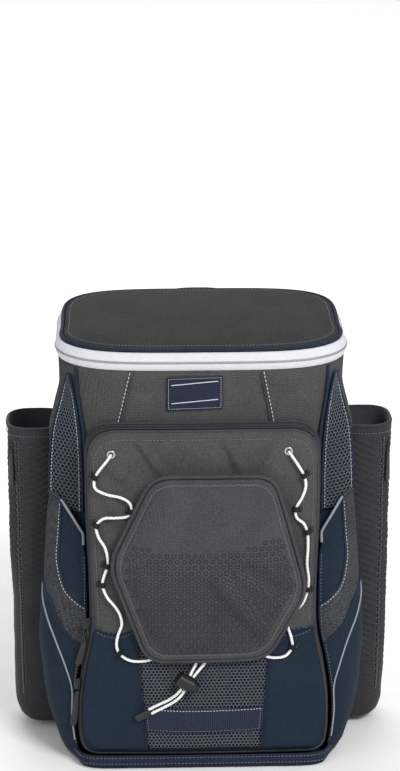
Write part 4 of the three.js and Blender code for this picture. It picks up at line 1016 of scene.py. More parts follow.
@dataclass
class Lid:
    """The zipped lid: two white tapes with teeth between them, piping and a crowned top."""

    bag: MainBag
    band: float = 20.0
    tape: float = 2.0
    swell: float = 3.0
    thickness: float = 3.0
    crown: float = 7.0
    piping: float = 2.1
    inset: float = 1.3
    hinge: float = 42.0
    gap: float = 0.4
    coil_places: int = 1400
    coil_sizes: tuple[float, float] = (1.5, 1.0)
    coil_narrow: float = 0.55

    def above(self, turn: float, inset: float, rise: float) -> Vector:
        """A point over the rim."""
        p = self.bag.point(turn, 1.0, inset)
        p.z += rise
        return p

    def strip(self, turns: Sequence[float], low: float, high: float, low_swell: float, high_swell: float,
              builder: MeshBuilder, finish: int = 0) -> None:
        """Adds a soft band between two heights over the rim, a little crowned between its seams."""
        rings = []
        for turn in turns:
            ripple = 0.25 * math.sin(turn * 0.9) + 0.2 * math.sin(turn * 2.3 + low)
            ring = []
            for t, out in ((0.0, 0.0), (0.12, 0.35), (0.5, 0.7 + ripple), (0.88, 0.35), (1.0, 0.0)):
                swell = low_swell + (high_swell - low_swell) * t + out
                ring.append(self.above(turn, -swell, low + (high - low) * t))
            for t in (1.0, 0.5, 0.0):
                swell = low_swell + (high_swell - low_swell) * t
                ring.append(self.above(turn, self.tape - swell, low + (high - low) * t))
            rings.append(ring)
        builder.rings(rings, finish=finish)

    def bands(self) -> None:
        """The two zip tapes, the coil between them and the cloth hinge at the back."""
        middle = self.band / 2
        start, end = self.hinge - 270, 90 - self.hinge
        turns = [start] + [t for t in self.bag.turns() if start + 0.3 < t < end - 0.3] + [end]
        lower, upper = MeshBuilder(), MeshBuilder()
        self.strip(turns, self.gap, middle - 0.5, 0.2, self.swell, lower)
        self.strip(turns, middle + 0.9, self.band, self.swell, -self.inset, upper)
        placed(lower.make("zip_tape_lower", Finishes.WHITE_TAPE.material()), Slot.WHITE_TAPE,
               "zip_band_lower")
        placed(upper.make("zip_tape_upper", Finishes.WHITE_TAPE.material()), Slot.WHITE_TAPE,
               "zip_band_upper")
        coil = MeshBuilder()
        path = evenly([self.above(t, -self.swell - 0.1, middle + 0.2) for t in turns], self.coil_places)
        coil.rings(coil_rings(path, Vector((0, 0, 1)), self.coil_sizes, self.coil_narrow))
        placed(coil.make("lid_coil", Finishes.COIL_GREY.material()), Slot.WHITE_TAPE)
        hinge = MeshBuilder()
        half = 90 - self.hinge + 1.2
        self.strip(steps(24, half, 180 - half), self.gap, self.band, 0.0, -self.inset, hinge)
        placed(hinge.make("lid_hinge_cloth", Finishes.CHARCOAL.material()), Slot.CHARCOAL, "lid_hinge")

    def top(self) -> None:
        """The crowned top panel with its soft dents, and the piping round it."""
        turns = self.bag.turns()
        rise = self.band + self.gap + self.piping + self.thickness / 2
        edge = 2 * self.piping + self.inset + self.gap
        centre = (self.bag.back - self.bag.front) / 2

        def ring(scale: float, lift: float, under: float) -> list[Vector]:
            points = []
            for turn in turns:
                p = self.above(turn, edge, 0.0)
                x, y = p.x * scale, centre + (p.y - centre) * scale
                dent = noise.noise(Vector((x * 0.013, y * 0.02, 5.0))) * 1.6 * (1 - scale**4)
                points.append(Vector((x, y, self.bag.rim(y) + rise + lift - under + dent)))
            return points

        shape = [(0.02, 0.98), (0.2, 0.97), (0.4, 0.92), (0.6, 0.82), (0.75, 0.66), (0.87, 0.42),
                 (0.94, 0.2), (0.98, 0.06), (1.0, -0.06)]
        builder = MeshBuilder()
        outer = [ring(s, h * self.crown, 0.0) for s, h in shape]
        inner = [ring(s, h * self.crown * 0.8, self.thickness) for s, h in shape[::-2]]
        builder.rings(outer + inner)
        # The top is drawn in the darker copy of the charcoal cloth: painted shade.
        lid = builder.make("lid_cloth", Finishes.SHADED_LID.material())
        placed(lid, Slot.CHARCOAL, "lid_top")
        piping = MeshBuilder()
        inset = self.piping + self.inset
        height = self.band + self.piping + self.gap
        piping.bar([self.above(t, inset, height) for t in turns], self.piping, 10, closed=True)
        placed(piping.make("lid_binding", Finishes.NAVY_BINDING.material()), Slot.NAVY, "lid_piping")
        seam = MeshBuilder()
        line = ring(0.965, 0.13 * self.crown + 0.2, 0.0)
        StitchLine(dash=2.4, pitch=3.8, radius=0.35).sew(seam, line + line[:1])
        placed(seam.make("lid_stitches", Finishes.DARK_THREAD.material()), Slot.CHARCOAL)

    def build(self) -> None:
        """Builds the lid."""
        self.bands()
        self.top()


@dataclass
class FrontPocket:
    """The hollow front pocket: creased face, zipped gusset, navy lower panels, mesh window and webbing."""

    bag: MainBag
    half_width: float = 139.0
    bottom: float = 16.8
    height: float = 378.0
    top_reach: float = 110.0
    base_reach: float = 122.0
    crown: float = 9.0
    wall: float = 2.6
    top_corner: float = 32.0
    base_corner: float = 20.0
    edge_drop: float = 9.0
    flare: float = 1.03
    seat_gap: float = 0.9
    gap: float = 0.4
    coil_places: int = 1100
    coil_sizes: tuple[float, float] = (0.9, 1.3)
    coil_narrow: float = 0.7
    window_top: float = 170.0
    window_half: tuple[float, float] = (64.0, 77.0)
    panel: float = 1.0
    mesh: float = 1.5
    webbing_bottom: float = 48.0
    webbing_height: float = 28.0
    webbing: float = 1.8
    sag: float = 8.0
    slider_heights: tuple[float, float] = (172.0, 100.0)
    pull_length: float = 44.0
    rows: tuple[tuple[float, float], ...] = (
        (0.0, 0.975), (0.08, 1.0), (0.18, 0.995), (0.28, 0.955), (0.38, 0.9), (0.52, 0.895),
        (0.75, 0.915), (1.0, 0.915),
    )
    creases: tuple[tuple[float, ...], ...] = (
        (-76.0, 394.0, -46.0, 350.0, 6.6, 7.0),
        (-34.0, 394.0, -54.0, 358.0, 5.6, 6.5),
        (22.0, 394.0, 42.0, 352.0, 6.6, 7.0),
        (50.0, 394.0, 33.0, 360.0, 5.2, 6.5),
        (84.0, 390.0, 64.0, 344.0, 5.6, 8.0),
        (-98.0, 352.0, -70.0, 330.0, 2.6, 8.0),
        (-110.0, 330.0, -84.0, 284.0, 2.4, 9.0),
        (106.0, 318.0, 88.0, 268.0, 2.4, 9.0),
        (110.0, 236.0, 92.0, 186.0, 2.4, 9.0),
        (-106.0, 216.0, -84.0, 168.0, 2.6, 9.0),
    )

    @property
    def top(self) -> float:
        """Height of the pocket's top edge."""
        return self.bottom + self.height

    @property
    def centre_z(self) -> float:
        """Height of the pocket's middle."""
        return self.bottom + self.height * 0.5

    def half_at(self, z: float) -> float:
        """Half of the pocket's width at a height."""
        return self.half_width * row_at(self.rows, (z - self.bottom) / self.height)[0]

    def face_y(self, x: float, z: float) -> float:
        """Where the pocket's face lies at a place across and up."""
        share = min(max((z - self.bottom) / self.height, 0.0), 1.0)
        reach = self.base_reach + (self.top_reach - self.base_reach) * share
        across = 1 - (min(abs(x), self.half_width) / self.half_width) ** 2
        return -reach - self.crown * across * math.sin(math.pi * (0.15 + 0.75 * share))

    def on_face(self, x: float, z: float, lift: float = 0.0) -> Vector:
        """A place on the face, lifted off it."""
        return Vector((x, self.face_y(x, z) - lift, z))

    def outline(self, count: int) -> list[Vector]:
        """The pocket's outline, from the bottom's middle round the right side and back."""
        side_top, side_bottom = self.top - self.top_corner, self.bottom + self.base_corner
        top_half, base_half = self.half_at(side_top), self.half_at(side_bottom)

        def bend(a: Vector, b: Vector, c: Vector) -> list[Vector]:
            return [a * ((1 - t) ** 2) + b * (2 * t * (1 - t)) + c * (t * t) for t in steps(12, 0.0, 1.0)]

        right = [Vector((0, 0, self.bottom))]
        right += bend(Vector((base_half - self.base_corner, 0, self.bottom)),
                      Vector((base_half, 0, self.bottom)), Vector((base_half, 0, side_bottom)))
        right += [Vector((self.half_at(z), 0, z)) for z in steps(40, side_bottom, side_top)[1:]]
        right += bend(Vector((top_half, 0, side_top)), Vector((top_half, 0, self.top)),
                      Vector((top_half - self.top_corner, 0, self.top)))[1:]
        right.append(Vector((0, 0, self.top)))
        right = evenly(right, count // 2)
        return right + [Vector((-p.x, 0, p.z)) for p in right[-2:0:-1]]

    def ring_point(self, p: Vector, scale: float, drop: float, inset: float = 0.0) -> Vector:
        """A point of the face at a scale of the outline."""
        out = Vector((p.x, 0, p.z - self.centre_z))
        out *= (scale * out.length - inset) / out.length
        z = self.centre_z + out.z
        return Vector((out.x, self.face_y(out.x, z) + drop, z))

    def seat_point(self, p: Vector, inset: float, gap: float) -> Vector:
        """A point of the gusset's edge on the bag."""
        rise = p.z - self.centre_z
        place = Vector((p.x * self.flare, 0, rise * (self.flare if rise > 0 else 1.0)))
        place *= (place.length - inset) / place.length
        z = self.centre_z + place.z
        corner = 1.8 * (abs(place.x) / self.bag.half_width) ** 4
        return Vector((place.x, self.bag.face_y(place.x, z, -1) - gap - corner, z))

    def fold(self, x: float, z: float) -> float:
        """How far the cloth stands out at a place: creases from the top edge and slow unevenness."""
        out = 0.0
        for x0, z0, x1, z1, depth, reach in self.creases:
            run = Vector((x1 - x0, z1 - z0))
            t = min(max(((x - x0) * run.x + (z - z0) * run.y) / run.length_squared, -0.1), 1.15)
            off = Vector((x - x0, z - z0)) - run * t
            away = math.copysign(off.length, off.x * run.y - off.y * run.x)
            fade = max(1 - abs(t - 0.3) / 1.0, 0.0)
            out += depth * fade * (ridge(away, reach) - 0.8 * ridge(away - 1.5 * reach, reach))
        slow = noise.noise(Vector((x * 0.02, z * 0.017, 7.0)))
        fine = noise.noise(Vector((x * 0.06, z * 0.05, 9.0)))
        return out + 1.3 * slow + 0.4 * fine

    def shell(self) -> None:
        """The hollow pocket in charcoal cloth."""
        outline = self.outline(360)

        def face_ring(scale: float, inset: float) -> list[Vector]:
            t = min(max((scale - 0.86) / 0.14, 0.0), 1.0)
            drop = self.edge_drop * (1 - math.sqrt(max(1 - t * t, 0.0)))
            ring = []
            for p in outline:
                q = self.ring_point(p, scale, drop + inset, inset if scale > 0.9 else 0.0)
                if inset == 0.0:
                    q.y -= self.fold(q.x, q.z) * (1 - t) * 0.9 + 0.2
                ring.append(q)
            return ring

        scales = steps(36, 0.03, 0.86) + [0.89, 0.92, 0.945, 0.965, 0.98, 0.99, 0.997, 1.0]
        outer = [face_ring(s, 0.0) for s in scales]
        edge, seat = outer[-1], [self.seat_point(p, 0.0, self.seat_gap) for p in outline]
        outer += [[a.lerp(b, t) for a, b in zip(edge, seat)] for t in (0.04, 0.3, 0.65, 0.97, 1.0)]
        inner_seat = [self.seat_point(p, self.wall, self.seat_gap) for p in outline]
        inner = [inner_seat] + [face_ring(s, self.wall) for s in (1.0, 0.97, 0.88, 0.62, 0.3)]
        builder = MeshBuilder()
        builder.rings(outer + inner)
        for index in range(len(builder.faces)):
            ring, column = divmod(index, len(outline))
            corner_heights = [(outer + inner)[row % len(outer + inner)][column].z
                              for row in (ring, ring + 1)]
            if ring < len(outer) and max(corner_heights) < self.window_top - 4:
                builder.finishes[index] = 1
        shell = builder.make("pocket_cloth", Finishes.CHARCOAL.material(), Finishes.NAVY.material())
        placed(shell, Slot.CHARCOAL, "front_pocket")

    def gusset_line(self, share: float, out: float, gap: float = 0.4) -> list[Vector]:
        """A line round the gusset at a share from the face's edge to the bag, a distance off it."""
        line = []
        for p in self.outline(360):
            if p.z <= self.bottom + self.base_corner * 0.5:
                continue
            edge = self.ring_point(p, 1.0, self.edge_drop)
            point = edge.lerp(self.seat_point(p, 0.0, gap), share)
            away = Vector((p.x, 0, p.z - self.centre_z)).normalized()
            if abs(p.x) > self.half_at(p.z) - 2:
                away = Vector((math.copysign(1.0, p.x), 0, 0))
            line.append(point + away * out)
        return line

    def zipper(self) -> None:
        """The dark zip tape on the gusset in two strips, with its coil, and the welt round the face with a
        row of stitches.
        """
        builder = MeshBuilder()
        for low, high in ((0.06, 0.27), (0.33, 0.62)):
            lines = [self.gusset_line(s, o) for s, o in (
                (low, 0.9), (low, 2.0), (low * 0.7 + high * 0.3, 2.5), (low * 0.3 + high * 0.7, 2.4),
                (high, 1.9), (high, 0.9))]
            builder.rings([list(ring) for ring in zip(*lines)])
        tape = builder.make("pocket_zip_tape", Finishes.DARK_TAPE.material())
        placed(tape, Slot.DARK_TAPE, "pocket_zipper")
        coil = MeshBuilder()
        path = evenly(self.gusset_line(0.3, 1.9), self.coil_places)
        coil.rings(coil_rings(path, Vector((0, 1, 0)), self.coil_sizes, self.coil_narrow))
        placed(coil.make("pocket_coil", Finishes.COIL_BLACK.material()), Slot.DARK_TAPE)
        edge = MeshBuilder()
        outline = self.outline(240)
        welt = [self.ring_point(p, 1.0, self.edge_drop * 0.8) for p in outline]
        edge.bar(welt, 1.5, 8, closed=True)
        stitches = [self.ring_point(p, 0.955, self.edge_drop * 0.26) - Vector((0, 0.6, 0)) for p in outline]
        StitchLine(dash=2.4, pitch=3.8, radius=0.35).sew(edge, stitches + stitches[:1], finish=1)
        welt_piece = edge.make("pocket_edge_welt", Finishes.GREY_BINDING.material(),
                               Finishes.DARK_THREAD.material())
        placed(welt_piece, Slot.CHARCOAL)

    def window_edge(self, z: float) -> float:
        """Half of the mesh window's width at a height."""
        share = min(max((z - self.bottom) / (self.window_top - self.bottom), 0.0), 1.0)
        return self.window_half[0] + (self.window_half[1] - self.window_half[0]) * share

    def patch(self, columns: Sequence[float], rows: Sequence[float], across: Callable[[float, float], float],
              up: Callable[[float, float], float], lift: float, thick: float, builder: MeshBuilder,
              finish: int = 0, folds: float = 0.9) -> None:
        """Adds a closed patch that follows the creased face.

        Args:
            columns: Shares across.
            rows: Shares up.
            across: The place across of two shares.
            up: The place up of two shares.
            lift: The underside's distance from the face.
            thick: The patch's thickness.
            builder: Gets the patch.
            finish: The material's number.
            folds: How much of the face's folds it follows.
        """
        def at(extra: float) -> list[list[Vector]]:
            grid = []
            for r in rows:
                line = []
                for c in columns:
                    x, z = across(c, r), up(c, r)
                    line.append(self.on_face(x, z, lift + extra + self.fold(x, z) * folds + 0.2))
                grid.append(line)
            return grid

        builder.plate(at(thick), at(0.0), finish)

    def lower_panels(self) -> None:
        """The navy cloth either side of the window, with its stitched seams."""
        low = self.bottom + 8
        for side in Side:
            def up(c: float, r: float) -> float:
                return low + (self.window_top - self.sag * math.sin(math.pi * c) - low) * r

            def across(c: float, r: float, side: Side = side) -> float:
                z = up(c, r)
                inner = self.window_edge(z) + self.gap
                outer = self.half_at(z) * 0.985 - 9 * smooth((0.12 - r) / 0.12)
                return side.value * (inner + (outer - inner) * c)

            builder = MeshBuilder()
            self.patch(steps(24, 0.0, 1.0), steps(36, 0.0, 1.0), across, up, 0.3, self.panel, builder)
            seam = [self.on_face(across(c, 1.0), up(c, 1.0) - 3.2,
                                 2.0 + 0.9 * self.fold(across(c, 1.0), up(c, 1.0) - 3.2))
                    for c in steps(24, 0.05, 0.97)]
            StitchLine(dash=2.4, pitch=3.8, radius=0.35).sew(builder, seam, finish=1)
            name = "lower_panel_" + side.word
            piece = builder.make(name + "_cloth", Finishes.NAVY.material(), Finishes.DARK_THREAD.material())
            placed(piece, Slot.NAVY, name)

    def window(self) -> None:
        """The mesh window: dark ground with knitted cells on it, and piping down its sides."""
        low = self.bottom + 8
        ground = MeshBuilder()
        self.patch(steps(20, -1.0, 1.0), steps(24, 0.0, 1.0),
                   lambda c, r: c * self.window_edge(low + (self.window_top - low) * r),
                   lambda c, r: low + (self.window_top - low) * r, 0.3, 0.5, ground)
        placed(ground.make("window_ground", Finishes.NET_GROUND.material()), Slot.NETTING, "mesh_window")
        net = MeshBuilder()

        def surface(x: float, z: float) -> Place:
            return tuple(self.on_face(x, z, 1.1 + 0.9 * self.fold(x, z)))

        Netting(pitch=4.2, yarn=0.52, thickness=0.5).lay(
            net, surface, (-78.0, 78.0), (low, self.window_top),
            lambda x, z: abs(x) < self.window_edge(z) - 2.2 and low + 2 < z < self.window_top - 1)
        placed(net.make("window_net", Finishes.NET_YARN.material()), Slot.NETTING)
        sides = MeshBuilder()
        for side in Side:
            line = [
                self.on_face(side.value * self.window_edge(z), z, 1.5 + 0.9 * self.fold(
                    side.value * self.window_edge(z), z))
                for z in steps(40, self.window_top - 1, low)
            ]
            sides.bar(line, 1.3, 6)
        placed(sides.make("window_piping", Finishes.NAVY_BINDING.material()), Slot.NAVY)

    def webbing_band(self) -> None:
        """The ribbed webbing across the window, sagging a little, with sewn edges."""
        builder = MeshBuilder()
        low, high = self.webbing_bottom, self.webbing_bottom + self.webbing_height

        def sag(c: float) -> float:
            return -2.5 * (1 - c * c)

        def at(c: float, z: float, lift: float) -> Vector:
            x = c * (self.window_edge(z) - 1)
            return self.on_face(x, z + sag(c), lift + 0.9 * self.fold(x, z))

        columns, rows = steps(60, -1.0, 1.0), steps(8, low, high)
        base = self.mesh + 2 * self.gap
        builder.plate([[at(c, z,
                           base + self.webbing - 0.5 * ridge(z - low, 1.5) - 0.5 * ridge(z - high, 1.5))
                        for c in columns] for z in rows],
                      [[at(c, z, base) for c in columns] for z in rows])
        stitches = StitchLine(dash=2.2, pitch=3.4, radius=0.4)
        stitches.sew(builder, [at(c, high - 1.8, base + self.webbing + 0.1) for c in steps(60, -0.97, 0.97)],
                     finish=1)
        stitches.sew(builder, [at(c, low + 1.8, base + self.webbing + 0.1) for c in steps(60, -0.97, 0.97)],
                     finish=2)
        for c in (-0.95, 0.95):
            stitches.sew(builder,
                         [at(c, z, base + self.webbing + 0.1) for z in steps(10, low + 2, high - 2)],
                         finish=2)
        band = builder.make("webbing_strip", Finishes.NAVY_WEBBING.material(), Finishes.THREAD.material(),
                            Finishes.DARK_THREAD.material())
        placed(band, Slot.NAVY_WEBBING, "webbing_band")

    def slider_place(self, z: float) -> Vector:
        """Where a slider sits on the left side of the zip."""
        half = self.half_at(z)
        return Vector((-half - self.seat_gap - self.gap - 4.5,
                       self.face_y(half, z) + self.edge_drop - self.gap - 2.0, z))

    def sliders(self) -> None:
        """The two sliders with their pulls: a corded one above and a plain rubber tab below."""
        for number, z in enumerate(self.slider_heights, 1):
            place = self.slider_place(z)
            body = MeshBuilder()
            shape = ((-6.5, 2.6), (-5.4, 3.6), (-1.0, 4.3), (3.0, 4.4), (5.2, 3.4), (6.5, 2.2))
            body.rings([
                [place + Vector((w * math.cos(t), 1.9 * math.sin(t), dz))
                 for t in angles(16)]
                for dz, w in shape
            ])
            bridge = [place + Vector((0, y, dz)) for dz, y in (
                (-4.0, -1.6), (-3.2, -3.2), (0.0, -3.9), (3.2, -3.2), (4.0, -1.6))]
            body.bar(bridge, 1.0, 8, reference=Vector((1, 0, 0)))
            slider = body.make(f"zip_slider_{number}", Finishes.ACETAL.material())
            placed(slider, Slot.PLASTIC, f"pocket_slider_{number}")
            top = z - 6.5
            spread = self.half_at(top - self.pull_length) - self.half_at(z)
            tilt = math.atan2(max(spread, 0.0) + 3.0, self.pull_length)
            hang = Vector((-math.sin(tilt), 0, -math.cos(tilt)))
            start = place + Vector((0, 0, -7.3))
            pull = MeshBuilder()
            if number == 1:
                for off in (-1.3, 1.3):
                    line = [start + Vector((off * math.sin(math.pi * s), -0.3 * s, 0)) + hang * (16 * s)
                            for s in steps(10, 0.0, 1.0)]
                    pull.bar(line, 0.9, 6)
                grip = (0.34, 1.0)
            else:
                grip = (0.03, 1.0)
            rows = []
            for s in steps(22, *grip):
                end = min((s - grip[0]) / 0.06, (1.0 - s) / 0.05, 1.0)
                width = 4.0 * (0.72 + 0.28 * smooth(s)) * math.sqrt(max(end, 0.12))
                groove = 0.25 * (math.sin(s * 60) > 0.2) * (0.25 < s < 0.8)
                rows.append([
                    start + hang * (self.pull_length * s)
                    + Vector((width * signed_power(math.cos(t), 0.6), (1.3 - groove) * signed_power(
                        math.sin(t), 0.6), 0))
                    for t in angles(16)
                ])
            pull.rings(rows)
            piece = pull.make(f"zip_pull_{number}", Finishes.PVC.material())
            placed(piece, Slot.PLASTIC, f"pocket_pull_{number}")

    def build(self) -> None:
        """Builds the front pocket."""
        self.shell()
        self.zipper()
        self.lower_panels()
        self.window()
        self.webbing_band()
        self.sliders()


@dataclass
class HelmetFlap:
    """The padded six-cornered flap, its rolled binding, stitches and pressed rings."""

    pocket: FrontPocket
    width: float = 215.0
    height: float = 210.0
    centre_x: float = 5.0
    bottom: float = 137.0
    thickness: float = 5.0
    crown: float = 12.0
    corner: float = 20.0
    standoff: tuple[float, float] = (7.4, 12.0)
    binding: float = 2.6
    gap: float = 0.4
    ring_pitch: float = 7.8
    folds: tuple[tuple[float, ...], ...] = (
        (18.0, 232.0, 72.0, 166.0, 6.4, 15.0), (50.0, 244.0, 94.0, 212.0, -5.0, 14.0),
        (-72.0, 232.0, -58.0, 168.0, 3.4, 15.0),
    )
    corners: tuple[tuple[float, float], ...] = (
        (-0.31, 0.0), (0.3, 0.01), (0.5, 0.375), (0.33, 1.0), (-0.285, 1.0), (-0.5, 0.53),
    )

    @property
    def centre_z(self) -> float:
        """Height of the flap's middle."""
        return self.bottom + self.height / 2

    def outline(self, count: int) -> list[Vector]:
        """The flap's outline with rounded corners."""
        places = [Vector((self.centre_x + a * self.width, 0, self.bottom + u * self.height))
                  for a, u in self.corners]
        line: list[Vector] = []
        for i, place in enumerate(places):
            before, after = places[i - 1], places[(i + 1) % len(places)]
            enter = place + (before - place).normalized() * self.corner
            leave = place + (after - place).normalized() * self.corner
            line += [enter * ((1 - t) ** 2) + place * (2 * t * (1 - t)) + leave * (t * t)
                     for t in steps(10, 0.0, 1.0)]
        return evenly(line + line[:1], count)[:-1]

    def reach(self) -> list[tuple[float, float]]:
        """The outline's distance from the middle, by angle."""
        made = []
        for p in self.outline(240):
            x, z = p.x - self.centre_x, p.z - self.centre_z
            made.append((math.atan2(z, x), math.hypot(x, z)))
        return sorted(made)

    def scale_at(self, x: float, z: float) -> float:
        """How far out a place is, as a share of the outline."""
        dx, dz = x - self.centre_x, z - self.centre_z
        table = self.table
        angle = math.atan2(dz, dx)
        return math.hypot(dx, dz) / float(np.interp(angle, table[0], table[1], period=2 * math.pi))

    def __post_init__(self) -> None:
        """Keeps the outline's distances for reading."""
        reach = self.reach()
        self.table = (np.array([a for a, _ in reach]), np.array([r for _, r in reach]))

    def off_face(self, z: float) -> float:
        """The underside's distance from the pocket's face."""
        share = min(max((z - self.bottom) / self.height, 0.0), 1.0)
        return self.standoff[0] + (self.standoff[1] - self.standoff[0]) * share

    def swell(self, scale: float, x: float, z: float) -> float:
        """How far the padding stands out: full in the middle, pulled in by the stitches near the edge."""
        dome = self.crown * max(1 - scale**5, 0.0)
        groove = 1.3 * ridge(scale - 0.945, 0.03)
        rim = 0.9 * ridge(scale - 0.985, 0.03)
        slow = noise.noise(Vector((x * 0.018, z * 0.018, 2.0))) * 1.3 * (1 - scale**6)
        return dome - groove + rim + slow + self.fold(x, z) * (1 - scale**6)

    def fold(self, x: float, z: float) -> float:
        """The soft fold across the lower right of the flap, and the shallow one beside it."""
        out = 0.0
        for x0, z0, x1, z1, depth, reach in self.folds:
            run = Vector((x1 - x0, z1 - z0))
            t = min(max(((x - x0) * run.x + (z - z0) * run.y) / run.length_squared, 0.0), 1.0)
            off = (Vector((x - x0, z - z0)) - run * t).length
            out += depth * ridge(off, reach)
        return out

    def at(self, x: float, z: float, lift: float = 0.0) -> Vector:
        """A place on the flap's outer face."""
        scale = min(self.scale_at(x, z), 1.0)
        out = self.off_face(z) + self.thickness + self.swell(scale, x, z) + lift
        return Vector((x, self.pocket.face_y(x, z) - out, z))

    def pad(self) -> None:
        """The padded body of the flap."""
        outline = self.outline(180)

        def ring(scale: float, under: bool) -> list[Vector]:
            points = []
            for p in outline:
                x = self.centre_x + (p.x - self.centre_x) * scale
                z = self.centre_z + (p.z - self.centre_z) * scale
                if under:
                    out = self.off_face(z) + self.crown * max(1 - scale**5, 0.0)
                    points.append(Vector((x, self.pocket.face_y(x, z) - out, z)))
                else:
                    points.append(self.at(x, z))
            return points

        scales = steps(26, 0.03, 0.9) + [0.915, 0.93, 0.945, 0.96, 0.975, 0.99, 1.0]
        builder = MeshBuilder()
        builder.rings([ring(s, False) for s in scales] + [ring(s, True)
                                                          for s in (1.0, 0.93, 0.75, 0.4, 0.05)])
        pad = builder.make("flap_pad", Finishes.FLAP.material())
        placed(pad, Slot.CHARCOAL, "helmet_flap")

    def edge(self) -> None:
        """The rolled binding round the flap and the zigzag stitches inside it."""
        builder = MeshBuilder()
        line = []
        for p in self.outline(200):
            out = Vector((p.x - self.centre_x, 0, p.z - self.centre_z))
            place = p + out.normalized() * (self.binding + self.gap - 0.3)
            y = self.pocket.face_y(place.x, place.z) - self.off_face(place.z) - self.thickness / 2
            line.append(Vector((place.x, y, place.z)))
        builder.bar(line, self.binding, 10, closed=True)
        placed(builder.make("flap_rolled_edge", Finishes.GREY_BINDING.material()), Slot.CHARCOAL,
               "flap_binding")
        zigzag = MeshBuilder()
        outline = self.outline(300)
        points = []
        for i, p in enumerate(outline + outline[:1]):
            scale = 0.952 if i % 2 else 0.936
            x = self.centre_x + (p.x - self.centre_x) * scale
            z = self.centre_z + (p.z - self.centre_z) * scale
            points.append(self.at(x, z, 0.15))
        zigzag.bar(points, 0.4, 5)
        placed(zigzag.make("flap_zigzag", Finishes.DARK_THREAD.material()), Slot.CHARCOAL)

    def weight(self, x: float, z: float) -> float:
        """How strong the pressed rings are at a place: they thin out upwards and to the middle."""
        across = (x - self.centre_x) / (self.width / 2)
        start = 284.0 + 26.0 * across * across + 6.0 * across
        return smooth((start - z) / 85.0)

    def rings(self) -> None:
        """Small pressed rings of film in rows, thicker towards the lower edge."""
        builder = MeshBuilder()
        row_pitch = self.ring_pitch * 0.86
        for r in range(int(self.height / row_pitch)):
            for c in range(-15, 16):
                x = self.centre_x + (c + 0.5 * (r % 2)) * self.ring_pitch
                z = self.bottom + 6 + r * row_pitch
                weight = self.weight(x, z)
                if weight < 0.12 or self.scale_at(x, z) > 0.9:
                    continue
                outer = self.ring_pitch * (0.36 + 0.14 * weight)
                inner = outer - 1.1 - 0.7 * weight
                turns = [math.radians(60 * k + 30) for k in range(6)]

                def loop(radius: float, lift: float) -> list[Vector]:
                    return [self.at(x + radius * math.cos(t), z + radius * math.sin(t), lift) for t in turns]

                points = loop(outer, -0.1) + loop((outer + inner) / 2, 0.6) + loop(inner, -0.1)
                faces = [
                    (6 * b + k, 6 * b + (k + 1) % 6, 6 * ((b + 1) % 3) + (k + 1) % 6, 6 * ((b + 1) % 3) + k)
                    for b in range(3) for k in range(6)
                ]
                builder.add(points, faces)
        placed(builder.make("flap_film_rings", Finishes.FILM.material()), Slot.CHARCOAL)

    def build(self) -> None:
        """Builds the flap."""
        self.pad()
        self.edge()
        self.rings()


